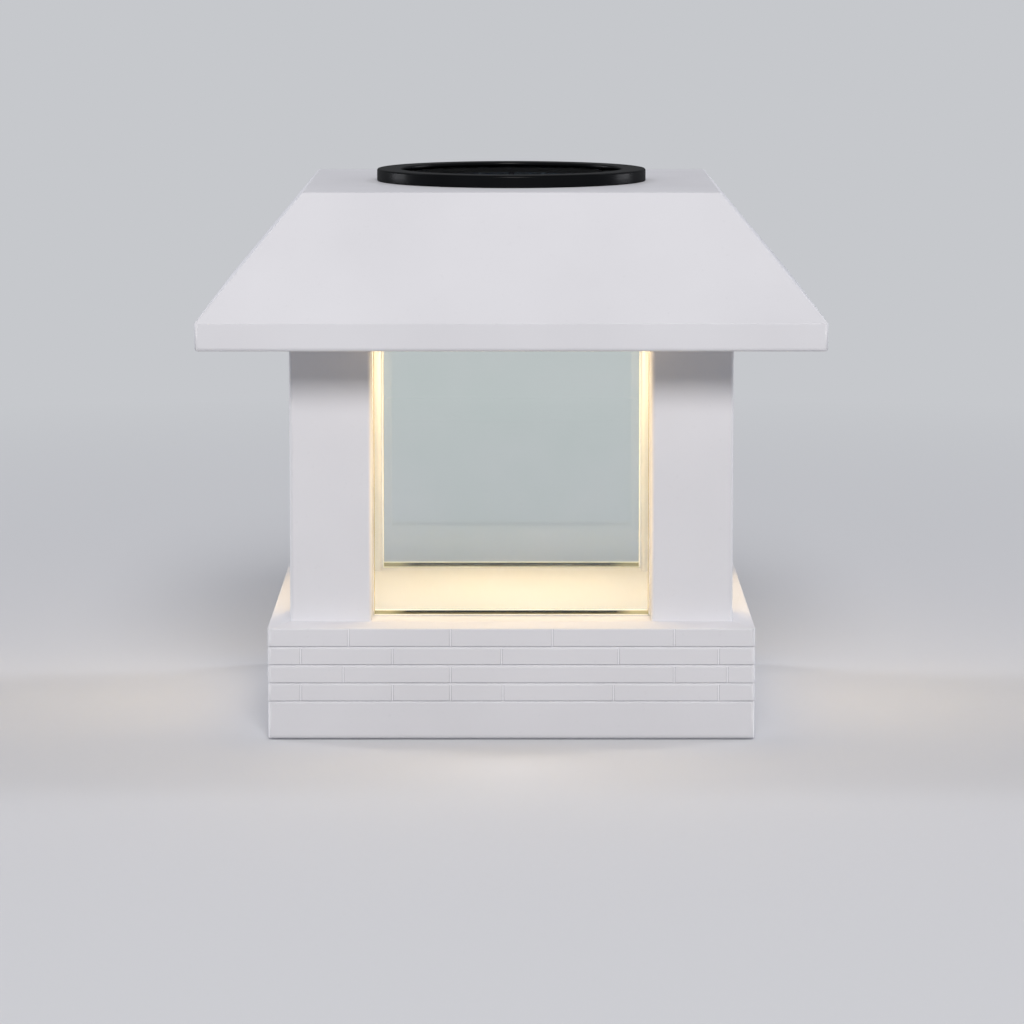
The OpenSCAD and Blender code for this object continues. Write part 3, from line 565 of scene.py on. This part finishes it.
# %% Round the skirt and finish its joints
RIM_HEIGHT, DECK_HEIGHT = 32.7, 34      # the top course's edge, and the deck between columns
JOINT_DEPTH = 0.3
skirt_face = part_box("post_skirt")[1].x / MM
skirt = softened("post_skirt", LEDGE_RADIUS, least_mm=1.5,
                 radius_at=lambda spot: LEDGE_RADIUS if spot.z > RIM_HEIGHT else LIP_RADIUS,
                 joined_where=lambda spot: reach_of(spot) > skirt_face - 1
                 or spot.z > DECK_HEIGHT,
                 rounded_where=lambda spot: reach_of(spot) > skirt_face - 1)


def in_joint(centre, normal):
    """True on the floor of an upright joint."""
    return abs(normal.z) < 0.1 and abs(reach_of(centre) - (skirt_face - JOINT_DEPTH)) < 0.03


def beside_joint(centre, normal):
    """True on the two walls of an upright joint."""
    level = min(abs(centre.x), abs(centre.y))
    sideways = abs(normal.x) if abs(centre.y) > abs(centre.x) else abs(normal.y)
    return (level < skirt_face - 2 and abs(normal.z) < 0.1 and sideways > 0.25
            and skirt_face - JOINT_DEPTH - 0.01 < reach_of(centre) < skirt_face - 0.001)


# Painted highlight: the lighter white on each joint's floor makes it read as a pale line.
paint(skirt, joint_painted_highlight_white, in_joint)
# Painted shade: the darker white on each joint's two walls.
paint(skirt, joint_wall_painted_shade_white, beside_joint)
for face in skirt.data.polygons:      # only the rounded outside is smooth: the ribs are flat
    curved = max(abs(part) for part in face.normal) < 0.99
    face.use_smooth = curved and reach_of(face.center / MM) > skirt_face - 1.3


# %% Round the columns
def round_column(name):
    """Rounds the outside of a column. The screw bosses in it stay sharp."""
    low, high = (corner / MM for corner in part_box(name))
    axis, half = (low + high) / 2, (high.x - low.x) / 2
    softened(name, COLUMN_RADIUS, least_mm=0.2, rounded_where=lambda spot: max(
        abs(spot.x - axis.x), abs(spot.y - axis.y)) > half - COLUMN_RADIUS)


for row in ("front", "back"):
    for side in ("left", "right"):
        round_column(f"column_{row}_{side}")

# %% [markdown]
# ## Bevelled panes
#
# A pane is a slab of glass with ground edges. Its outer face has a wide bevel along the foot,
# and narrow ones on the other sides. Above the seat the foot bevel is painted as a dark band
# between two bright lines: painted shade and painted highlights for what it refracts. A Bevel
# modifier gives one width to every edge, so the slab is built as a stack of rectangles instead:
# each ring of corners is set in by its own amounts and then bridged.

# %% Build the panes
FOOT_BEVEL = 2.55      # the seat hides 1.2 mm of it
SEAT_LINE = 1.38      # where the bevel meets the deck
ARRIS = 0.35
EDGE_BEVEL = 0.25
BEVEL_DEPTH = 0.6


def ground_pane(name, across, outward):
    """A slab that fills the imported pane's box, thin along one axis, bevelled all round."""
    low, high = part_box(name)
    along = 1 - across
    faces_at = (high, low) if outward > 0 else (low, high)
    outer, inner = faces_at[0][across], faces_at[1][across]
    rings = (      # the depth, then how far the sides and the foot are set in, in mm
        (outer, EDGE_BEVEL, FOOT_BEVEL + ARRIS),
        (outer - outward * 0.1 * MM, EDGE_BEVEL, FOOT_BEVEL),
        (outer - outward * 0.4 * MM, 0.4 * EDGE_BEVEL, SEAT_LINE),
        (outer - outward * BEVEL_DEPTH * MM, 0, 0),
        (inner + outward * EDGE_BEVEL * MM, 0, 0),
        (inner, EDGE_BEVEL, EDGE_BEVEL),
    )
    shape = bmesh.new()
    loops = []
    for depth, side, foot in rings:
        loop = []
        for left, top in ((1, 0), (0, 0), (0, 1), (1, 1)):
            corner = Vector((0, 0, 0))
            corner[across] = depth
            corner[along] = (low[along] + side * MM) if left else (high[along] - side * MM)
            corner.z = (high.z - side * MM) if top else (low.z + foot * MM)
            loop.append(shape.verts.new(corner))
        loops.append(loop)
    shape.faces.new(loops[0])
    shape.faces.new(loops[-1])
    for first, second in zip(loops, loops[1:]):
        for i in range(4):
            shape.faces.new((first[i], first[(i + 1) % 4], second[(i + 1) % 4], second[i]))
    bmesh.ops.recalc_face_normals(shape, faces=shape.faces)
    piece = stand_in(new_piece(name + "_glass", shape), name, clear_glass, crease=5)
    foot = low.z / MM
    # The side edges get their tint, partly painted warm light, and a painted glow.
    paint(piece, side_edge_tint_and_painted_glow, lambda centre, normal: abs(normal[across]) < 0.99)
    # Painted highlights with a painted glow on the arris above the foot and on the inner side
    # chamfers.
    paint(piece, arris_painted_highlight, lambda centre, normal: normal.z < -0.1 and centre.z > foot + 0.1)
    paint(piece, arris_painted_highlight, lambda centre, normal: abs(normal[along]) > 0.1
          and -0.99 < outward * normal[across] < -0.1)
    # Painted shade and light on the foot bevel.
    paint(piece, foot_bevel_painted_light_and_shade, lambda centre, normal: normal.z < -0.1
          and foot + SEAT_LINE < centre.z < foot + FOOT_BEVEL)


ground_pane("pane_front", 1, -1)
ground_pane("pane_back", 1, 1)
ground_pane("pane_left", 0, -1)
ground_pane("pane_right", 0, 1)

# %% [markdown]
# ## The rim and the battery door
#
# The rim is a turned shape with crisp circles. A radius of 0.3 mm gives it the thin bright
# line that runs round its top edge, and the battery door has the same radius.

# %% Round the black pieces
BLACK_RADIUS = 0.3
softened("solar_bezel", BLACK_RADIUS, least_mm=0.8)
softened("battery_door", BLACK_RADIUS, least_mm=3, steps=2)

# %% [markdown]
# ## Trees that grow repeated parts
#
# Screws and printed silver lines repeat, so Geometry Nodes grow them: one tree holds the rule,
# and named inputs hold the sizes. The result is baked to a plain mesh at once, because a live
# tree and its instances would be lost when the model is exported.

# %% Helpers for Geometry Nodes
SOCKETS = {bool: "NodeSocketBool", int: "NodeSocketInt", float: "NodeSocketFloat",
           bpy.types.Material: "NodeSocketMaterial"}


def start_tree(name, sizes):
    """A tree with a geometry input, a named input for each size, and a geometry output."""
    tree = bpy.data.node_groups.new(name, "GeometryNodeTree")
    tree.interface.new_socket("Geometry", in_out="INPUT", socket_type="NodeSocketGeometry")
    tree.interface.new_socket("Geometry", in_out="OUTPUT", socket_type="NodeSocketGeometry")
    for label, value in sizes.items():
        kind = SOCKETS[type(value)]
        tree.interface.new_socket(label, in_out="INPUT", socket_type=kind).default_value = value
    given = tree.nodes.new("NodeGroupInput").outputs
    result = tree.nodes.new("NodeGroupOutput").inputs["Geometry"]
    return tree, given, result


def grow(name, tree, mesh, sizes):
    """Runs the tree on a mesh with these sizes and returns a plain piece."""
    piece = bpy.data.objects.new(name, mesh)
    bpy.context.scene.collection.objects.link(piece)
    modifier = piece.modifiers.new("tree", "NODES")
    modifier.node_group = tree
    for item in tree.interface.items_tree:
        if item.in_out == "INPUT" and item.name in sizes:
            modifier[item.identifier] = sizes[item.name]
    applied(piece)
    print(f"{name}: {len(piece.data.polygons)} faces from {tree.name}")
    return piece


# %% [markdown]
# ## Threaded screws
#
# A cross-head screw has a domed or countersunk head, a core, a thread and a point. It could be
# modelled once and copied by hand, but the lantern has two thicknesses of them in several
# lengths. The tree builds one screw round its seat: the dome is a ball whose lower half follows
# a steep power curve, the cross is cut out by two bars, and the thread is a small profile swept
# along a spiral. Then it sets one on every point that it is given, with the head down or up.

# %% The dome of a screw's head
DOME_POWER = 4      # of the squared distance from the axis: higher is flatter on top


def head_dome(tree, given):
    """The lower half of a ball, stretched to the head's size, with a flat upper side."""
    position = add(tree, "GeometryNodeInputPosition")
    axes = add(tree, "ShaderNodeSeparateXYZ", {0: position}).outputs
    flat = add(tree, "ShaderNodeVectorMath", {0: position, 1: (1, 1, 0)}, operation="MULTIPLY")
    square = add(tree, "ShaderNodeVectorMath", {0: flat, 1: flat}, operation="DOT_PRODUCT")
    steep = add(tree, "ShaderNodeMath", {0: square, 1: DOME_POWER}, operation="POWER")
    crown = add(tree, "ShaderNodeMath", {0: steep, 1: 1.0}, operation="SUBTRACT")
    lower = add(tree, "ShaderNodeMath", {0: axes["Z"], 1: 0.0}, operation="LESS_THAN")
    drop = add(tree, "ShaderNodeMath", {0: crown, 1: lower}, operation="MULTIPLY")
    spot = add(tree, "ShaderNodeCombineXYZ", {"X": axes["X"], "Y": axes["Y"], "Z": drop})
    size = add(tree, "ShaderNodeCombineXYZ", {
        "X": given["Head Radius"], "Y": given["Head Radius"], "Z": given["Head Height"]})
    place = add(tree, "ShaderNodeVectorMath", {0: spot, 1: size}, operation="MULTIPLY")
    ball = add(tree, "GeometryNodeMeshUVSphere", {"Segments": 32, "Rings": 16, "Radius": 1.0})
    return add(tree, "GeometryNodeSetPosition", {"Geometry": ball, "Position": place})


# %% The screw's tree
def screw_tree():
    tree, given, result = start_tree("threaded_screw", {
        "Head Radius": 0.0028, "Head Height": 0.0021, "Core Radius": 0.0011,
        "Straight Length": 0.012, "Tip Length": 0.0018, "Thread Height": 0.0003,
        "Thread Turns": 12.0, "Cross Length": 0.0031, "Cross Width": 0.0007,
        "Cross Depth": 0.002, "Cross Level": -0.0021,
        "Countersunk": False, "Head Up": False, "Finish": zinc,
    })
    cone = add(tree, "GeometryNodeMeshCone", {
        "Vertices": 32, "Radius Top": given["Core Radius"],
        "Radius Bottom": given["Head Radius"], "Depth": given["Head Height"]})
    head = add(tree, "GeometryNodeSwitch", {
        "Switch": given["Countersunk"], "False": head_dome(tree, given), "True": cone},
        input_type="GEOMETRY")
    level = add(tree, "ShaderNodeCombineXYZ", {"Z": given["Cross Level"]})
    for wide, deep in (("Cross Length", "Cross Width"), ("Cross Width", "Cross Length")):
        size = add(tree, "ShaderNodeCombineXYZ", {
            "X": given[wide], "Y": given[deep], "Z": given["Cross Depth"]})
        bar = add(tree, "GeometryNodeTransform", {
            "Geometry": add(tree, "GeometryNodeMeshCube", {"Size": size}), "Translation": level})
        head = add(tree, "GeometryNodeMeshBoolean", {"Mesh 1": head, "Mesh 2": bar},
                   operation="DIFFERENCE", solver="EXACT")

    core = add(tree, "GeometryNodeMeshCylinder", {
        "Vertices": 24, "Radius": given["Core Radius"], "Depth": given["Straight Length"]})
    half = add(tree, "ShaderNodeMath", {0: given["Straight Length"], 1: 0.5},
               operation="MULTIPLY")
    core = add(tree, "GeometryNodeTransform", {
        "Geometry": core, "Translation": add(tree, "ShaderNodeCombineXYZ", {"Z": half})})
    point = add(tree, "GeometryNodeMeshCone", {
        "Vertices": 24, "Radius Top": 0.1 * MM, "Radius Bottom": given["Core Radius"],
        "Depth": given["Tip Length"]})
    end = add(tree, "ShaderNodeCombineXYZ", {"Z": given["Straight Length"]})
    point = add(tree, "GeometryNodeTransform", {"Geometry": point, "Translation": end})
    spiral = add(tree, "GeometryNodeCurveSpiral", {
        "Resolution": 18, "Rotations": given["Thread Turns"],
        "Start Radius": given["Core Radius"], "End Radius": given["Core Radius"],
        "Height": given["Straight Length"]})
    profile = add(tree, "GeometryNodeCurvePrimitiveCircle", {
        "Resolution": 4, "Radius": given["Thread Height"]}, mode="RADIUS")
    thread = add(tree, "GeometryNodeCurveToMesh", {
        "Curve": spiral, "Profile Curve": profile, "Fill Caps": True})

    screw = add(tree, "GeometryNodeJoinGeometry", {"Geometry": [head, core, point, thread]})
    angle = add(tree, "ShaderNodeMath", {0: given["Head Up"], 1: math.pi}, operation="MULTIPLY")
    turned = add(tree, "GeometryNodeTransform", {
        "Geometry": screw, "Rotation": add(tree, "ShaderNodeCombineXYZ", {"X": angle})})
    placed = add(tree, "GeometryNodeInstanceOnPoints", {
        "Points": given["Geometry"], "Instance": turned})
    solid = add(tree, "GeometryNodeRealizeInstances", {"Geometry": placed})
    plated_screws = add(tree, "GeometryNodeSetMaterial", {
        "Geometry": solid, "Material": given["Finish"]})
    wire(tree, plated_screws, result)
    return tree


threaded_screw = screw_tree()

# %% [markdown]
# ## Find the seats
#
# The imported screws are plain, but they stand in the right places. Each separate solid's box
# says where its head is and how long it is, so nothing is measured twice.

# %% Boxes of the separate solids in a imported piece
def solid_boxes(name):
    """The lowest and highest corners of each separate solid."""
    shape = merged_copy(name)
    left = dict.fromkeys(shape.verts)      # a set would give them in another order each run
    boxes = []
    while left:
        waiting = [left.popitem()[0]]
        corners = []
        while waiting:
            vert = waiting.pop()
            corners.append(vert.co.copy())
            for edge in vert.link_edges:
                other = edge.other_vert(vert)
                if other in left:
                    del left[other]
                    waiting.append(other)
        boxes.append((Vector(map(min, zip(*corners))), Vector(map(max, zip(*corners)))))
    shape.free()
    return boxes


# %% Grow the screws
MAIN, SMALL = 1.4, 1.0      # shank radii in mm: 2.8 mm and 2 mm screws


def grow_screws(name, radius_mm, head_up=False, countersunk=False):
    """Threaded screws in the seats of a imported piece, sized by the shank's radius."""
    radius = radius_mm * MM
    head_radius, core_radius, pitch = 2 * radius, 0.78 * radius, 0.7 * radius
    head = radius if countersunk else 1.5 * radius
    tip = 1.6 * core_radius
    seats = []
    for low, high in solid_boxes(name):
        middle = (low + high) / 2
        length = high.z - low.z - (0 if countersunk else head)
        below = low.z if countersunk else low.z + head
        seats.append((middle.x, middle.y, high.z - head if head_up else below))
    mesh = bpy.data.meshes.new(name + "_seats")
    mesh.from_pydata(seats, [], [])
    print(f"{name}: {len(seats)} screws, {length / MM:.1f} mm under the head")
    piece = grow(name + "_threaded", threaded_screw, mesh, {
        "Head Radius": head_radius, "Head Height": head, "Core Radius": core_radius,
        "Straight Length": length - tip, "Tip Length": tip, "Thread Height": 0.22 * radius,
        "Thread Turns": (length - tip) / pitch, "Cross Length": 1.1 * head_radius,
        "Cross Width": 0.24 * head_radius, "Cross Depth": 0.7 * head_radius,
        "Cross Level": 0.0 if countersunk else -head,
        "Countersunk": countersunk, "Head Up": head_up, "Finish": zinc})
    stand_in(piece, name, zinc, crease=30)


grow_screws("column_screws_lower", MAIN)
grow_screws("column_screws_upper", MAIN, head_up=True)
grow_screws("roof_screws", MAIN, countersunk=True)
grow_screws("cup_screws", MAIN)
grow_screws("board_screws", SMALL, head_up=True)
grow_screws("reflector_screws", SMALL, head_up=True)

# %% [markdown]
# ## Silver lines on the cells
#
# Each half of the window has a cell with fine silver fingers and two broader bars that gather
# the current. Every finger is as long as the disc is wide at that height, which is a rule, so
# a tree makes them: a row of points, and on each a thin bar stretched to the chord's length.

# %% The silver lines' tree
BAR_SHARE = 1.96      # a bar's length in half chords: it stops just short of the disc's edge


def silver_tree():
    tree, given, result = start_tree("silver_lines", {
        "Disc Radius": 0.0284, "Half Gap": 0.0009, "Level": 0.1614, "Thickness": 0.00004,
        "Finger Count": 23, "Finger Spacing": 0.0024, "Finger Width": 0.00012,
        "Bar Width": 0.0009, "Bar Place": 0.0098, "Bar Spacing": 0.0095, "Silver": silver_finish,
    })
    radius, level, thickness = given["Disc Radius"], given["Level"], given["Thickness"]

    def half_chord(distance):
        """Half the disc's width at this distance from its middle."""
        square = add(tree, "ShaderNodeMath", {0: radius, 1: radius}, operation="MULTIPLY")
        taken = add(tree, "ShaderNodeMath", {0: distance, 1: distance}, operation="MULTIPLY")
        rest = add(tree, "ShaderNodeMath", {0: square, 1: taken}, operation="SUBTRACT")
        rest = add(tree, "ShaderNodeMath", {0: rest, 1: 0.0}, operation="MAXIMUM")
        return add(tree, "ShaderNodeMath", {0: rest}, operation="SQRT")

    def strips(points, strip_size, scale):
        """A thin strip on each point, with the same size but for this scale."""
        size = add(tree, "ShaderNodeCombineXYZ", strip_size)
        return add(tree, "GeometryNodeInstanceOnPoints", {
            "Points": points, "Instance": add(tree, "GeometryNodeMeshCube", {"Size": size}),
            "Scale": add(tree, "ShaderNodeCombineXYZ", scale)})

    position = add(tree, "GeometryNodeInputPosition")
    spot = add(tree, "ShaderNodeSeparateXYZ", {0: position}).outputs
    gaps = add(tree, "ShaderNodeMath", {0: given["Finger Count"], 1: 1.0}, operation="SUBTRACT")
    back = add(tree, "ShaderNodeMath", {0: given["Finger Spacing"], 1: -0.5},
               operation="MULTIPLY")
    first = add(tree, "ShaderNodeMath", {0: gaps, 1: back}, operation="MULTIPLY")
    reach, drop = half_chord(spot["Y"]), half_chord(spot["X"])
    finger = add(tree, "ShaderNodeMath", {0: reach, 1: given["Half Gap"]}, operation="SUBTRACT")
    span = add(tree, "ShaderNodeMath", {0: reach, 1: given["Half Gap"]}, operation="ADD")
    bar = add(tree, "ShaderNodeMath", {0: drop, 1: BAR_SHARE}, operation="MULTIPLY")
    lines = []
    for side in (-1, 1):
        row = add(tree, "GeometryNodeMeshLine", {
            "Count": given["Finger Count"],
            "Start Location": add(tree, "ShaderNodeCombineXYZ", {"Y": first, "Z": level}),
            "Offset": add(tree, "ShaderNodeCombineXYZ", {"Y": given["Finger Spacing"]}),
        }, mode="OFFSET")
        middle = add(tree, "ShaderNodeMath", {0: span, 1: 0.5 * side}, operation="MULTIPLY")
        row = add(tree, "GeometryNodeSetPosition", {
            "Geometry": row, "Position": add(tree, "ShaderNodeCombineXYZ", {
                "X": middle, "Y": spot["Y"], "Z": spot["Z"]})})
        lines.append(strips(row, {"X": 1.0, "Y": given["Finger Width"], "Z": thickness},
                            {"X": finger, "Y": 1.0, "Z": 1.0}))
        start = add(tree, "ShaderNodeMath", {0: given["Bar Place"], 1: side},
                    operation="MULTIPLY")
        step = add(tree, "ShaderNodeMath", {0: given["Bar Spacing"], 1: side},
                   operation="MULTIPLY")
        pair = add(tree, "GeometryNodeMeshLine", {
            "Count": 2,
            "Start Location": add(tree, "ShaderNodeCombineXYZ", {"X": start, "Z": level}),
            "Offset": add(tree, "ShaderNodeCombineXYZ", {"X": step})}, mode="OFFSET")
        lines.append(strips(pair, {"X": given["Bar Width"], "Y": 1.0, "Z": thickness},
                            {"X": 1.0, "Y": bar, "Z": 1.0}))
    printed = add(tree, "GeometryNodeSetMaterial", {
        "Geometry": add(tree, "GeometryNodeRealizeInstances", {
            "Geometry": add(tree, "GeometryNodeJoinGeometry", {"Geometry": lines})}),
        "Material": given["Silver"]})
    wire(tree, add(tree, "GeometryNodeJoinGeometry", {
        "Geometry": [given["Geometry"], printed]}), result)
    return tree


# %% Thin the wafers a little and print the lines on them
THINNED = 0.08 * MM      # what comes off a wafer's top, to leave room for the silver
wafers = merged_copy("solar_cells")
wafer_top = max(vert.co.z for vert in wafers.verts)
for vert in wafers.verts:
    if vert.co.z > wafer_top - 0.1 * MM:
        vert.co.z = wafer_top - THINNED
wafer_mesh = bpy.data.meshes.new("wafers")
wafers.to_mesh(wafer_mesh)
wafers.free()
wafer_mesh.materials.append(cell_finish)
cells = grow("solar_cells_printed", silver_tree(), wafer_mesh, {
    "Level": wafer_top - 0.05 * MM, "Silver": silver_finish})
stand_in(cells, "solar_cells", crease=20)

# %% [markdown]
# ## Parts with more than one finish
#
# The battery is a steel can in a plastic sleeve: its ends are bare. On the board, the
# capacitor has an aluminium top, the coil has copper windings and the rest is black epoxy.

# %% Battery and board parts
battery = softened("battery_cell", 0.35, least_mm=0.4, steps=2)
button_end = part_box("battery_cell")[1].x / MM
paint(battery, nickel,
      lambda centre, normal: abs(normal.x) > 0.5 or centre.x > button_end - 1.2)

parts = softened("board_parts", 0.1, least_mm=0.3, steps=2)
paint(parts, aluminium, lambda centre, normal: centre.z > 149 and 3 < centre.x < 9)
paint(parts, copper_wire, lambda centre, normal: 9.9 < centre.x < 16.1 and centre.y < -9
      and 144 < centre.z < 146.6 and abs(normal.z) < 0.3)
paint(parts, aluminium,
      lambda centre, normal: centre.y > -5 and abs((centre.x + 2) % 4 - 2) > 0.85)

# %% [markdown]
# ## Stage and light
#
# White plastic needs a pale room, or it reads as grey. A large soft lamp stands in front and
# fairly low, which puts the short soft shadow of the eave on the columns. Weaker lamps at the
# sides draw thin lines along the edges, and an even world lights what they miss. The room
# behind is a flat pale grey that glass and gloss also see. The floor is pale to the eye and
# darker to bounced light, so that it doesn't flatten the housing, and it is clear from below,
# where a lamp under it and a weak one inside the skirt show the ribs.

# %% Floor
ROOM = "#c6c8cc"


def pale_floor():
    material, tree, shader, place = finish_named("pale_floor")
    tree.nodes.remove(shader)
    path = add(tree, "ShaderNodeLightPath").outputs
    tone = add(tree, "ShaderNodeMix", {
        "Factor": path["Is Diffuse Ray"], "A": linear("#dadbde"), "B": linear("#8f9093")},
        data_type="RGBA")
    matte = add(tree, "ShaderNodeBsdfDiffuse", {"Color": tone})
    glow = add(tree, "ShaderNodeEmission", {"Color": linear(ROOM), "Strength": 1.0})
    reach = add(tree, "ShaderNodeVectorMath", {0: place}, operation="LENGTH")
    far = add(tree, "ShaderNodeMapRange", {"Value": reach, "From Min": 0.25, "From Max": 0.9})
    above = add(tree, "ShaderNodeMixShader", {0: far, 1: matte, 2: glow})
    under = add(tree, "ShaderNodeNewGeometry").outputs["Backfacing"]
    through = add(tree, "ShaderNodeMath", {0: under, 1: path["Is Shadow Ray"]},
                  operation="MAXIMUM")
    clear = add(tree, "ShaderNodeBsdfTransparent")
    surface = add(tree, "ShaderNodeMixShader", {0: through, 1: above, 2: clear})
    wire(tree, surface, tree.nodes["Material Output"].inputs["Surface"])
    return material


ground = bmesh.new()
bmesh.ops.create_circle(ground, cap_ends=True, segments=96, radius=40)
for vert in ground.verts:
    vert.co.z = -0.2 * MM
floor = new_piece("floor", ground)
floor.data.materials.append(pale_floor())
print("floor: 80 m across, 0.2 mm below the skirt")

# %% Room lamps
LANTERN_MIDDLE = Vector((0, 0, 90 * MM))
SIDES = (("left", -1), ("right", 1))


def add_lamp(name, kind, place, power, tint, turn=(0, 0, 0), seen=True, **settings):
    """A lamp. One that isn't seen gives its light but doesn't show in glass or gloss."""
    lamp_data = bpy.data.lights.new(name, kind)
    lamp_data.energy = power
    lamp_data.color = linear(tint)[:3]
    for setting, value in settings.items():
        setattr(lamp_data, setting, value)
    lamp = bpy.data.objects.new(name, lamp_data)
    lamp.location = place
    lamp.rotation_euler = turn
    lamp.visible_camera = lamp.visible_glossy = lamp.visible_transmission = seen
    bpy.context.scene.collection.objects.link(lamp)


def soft_lamp(name, place, size, power, tint="#f8f9ff"):
    """A round soft lamp that points at the lantern."""
    turn = (LANTERN_MIDDLE - Vector(place)).to_track_quat("-Z", "Y").to_euler()
    add_lamp(name, "AREA", place, power, tint, turn, shape="DISK", size=size)


soft_lamp("key_lamp", (0.1, -2.6, 1.6), 1.0, 60, "#fffcfb")
for name, side in SIDES:
    soft_lamp(name + "_lamp", (side * 2.3, 0.9, 0.35), 1.0, 26)
for name, side in SIDES:
    soft_lamp(name + "_edge_lamp", (side * 1.9, 0.9, 2.1), 0.5, 8)
soft_lamp("under_lamp", (0, 0, -1.5), 1.4, 7)
add_lamp("socket_lamp", "AREA", (0, 0, 0.5 * MM), 0.015, "#ffffff", turn=(math.pi, 0, 0),
         seen=False, size=120 * MM)

# %% [markdown]
# ## The lantern's own light
#
# A path tracer finds it hard to send lamp light through refracting glass, so the warm light is
# given in two parts. Four small ball lamps under the diffuser fill the chamber, and being four
# they light its floor evenly. A faint sheet of light just outside each pane stands for what
# passes straight through the glass and warms the ledge, and two thin strips stand for what
# leaves it sideways and warms the columns' inner corners. None of these lamps can be seen,
# only their light.

# %% Chamber and window light
GLOW_ASIDE, GLOW_HEIGHT = 24 * MM, 102 * MM      # each ball lamp, from the middle of the plan
WINDOW_HEIGHT = 76 * MM                          # the middle of the open part of a pane
SHEET_GAP, SHEET_SIDE = 1.5 * MM, 80 * MM
STRIP_GAP, STRIP_ASIDE = 7 * MM, 26 * MM
STRIP_WIDTH, STRIP_LENGTH = 4 * MM, 54 * MM
FACING_OUT = -math.pi / 2                        # tips a lamp that points down until it is level


def outward(angle):
    """The level direction that the front face looks in, turned by this angle."""
    return Vector((math.sin(angle), -math.cos(angle), 0))


for corner, (side, row) in enumerate(((-1, -1), (1, -1), (-1, 1), (1, 1)), 1):
    spot = (side * GLOW_ASIDE, row * GLOW_ASIDE, GLOW_HEIGHT)
    add_lamp(f"chamber_glow_{corner}", "POINT", spot, 0.035, WARM_LIGHT, seen=False,
             shadow_soft_size=6 * MM)

pane_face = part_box("pane_right")[1].x
middle = Vector((0, 0, WINDOW_HEIGHT))
for quarter in range(4):
    angle = quarter * math.pi / 2
    add_lamp(f"window_light_{quarter + 1}", "AREA",
             middle + outward(angle) * (pane_face + SHEET_GAP), 0.03, WARM_LIGHT,
             (FACING_OUT, 0, angle), seen=False, shape="RECTANGLE", size=SHEET_SIDE,
             size_y=SHEET_SIDE)
    for name, side in SIDES:
        turned = side * math.pi / 2
        spot = outward(angle) * (pane_face + STRIP_GAP) + outward(angle + turned) * STRIP_ASIDE
        add_lamp(f"jamb_light_{quarter + 1}_{name}", "AREA", middle + spot, 0.0028, WARM_LIGHT,
                 (FACING_OUT, 0, angle + turned), seen=False, shape="RECTANGLE",
                 size=STRIP_WIDTH, size_y=STRIP_LENGTH)
print("lamps:", len(bpy.data.lights))

# %% World
world = bpy.data.worlds.new("studio")
bpy.context.scene.world = world
world.use_nodes = True
sky = world.node_tree
sky.nodes.clear()
path = add(sky, "ShaderNodeLightPath").outputs
seen = add(sky, "ShaderNodeMath", {0: path["Is Camera Ray"], 1: path["Is Glossy Ray"]},
           operation="MAXIMUM")
seen = add(sky, "ShaderNodeMath", {0: seen, 1: path["Is Transmission Ray"]}, operation="MAXIMUM")
room = add(sky, "ShaderNodeBackground", {"Color": linear(ROOM), "Strength": 1.0})
light = add(sky, "ShaderNodeBackground", {"Color": linear("#f1f3fa"), "Strength": 0.25})
both = add(sky, "ShaderNodeMixShader", {0: seen, 1: light, 2: room})
add(sky, "ShaderNodeOutputWorld", {"Surface": both})
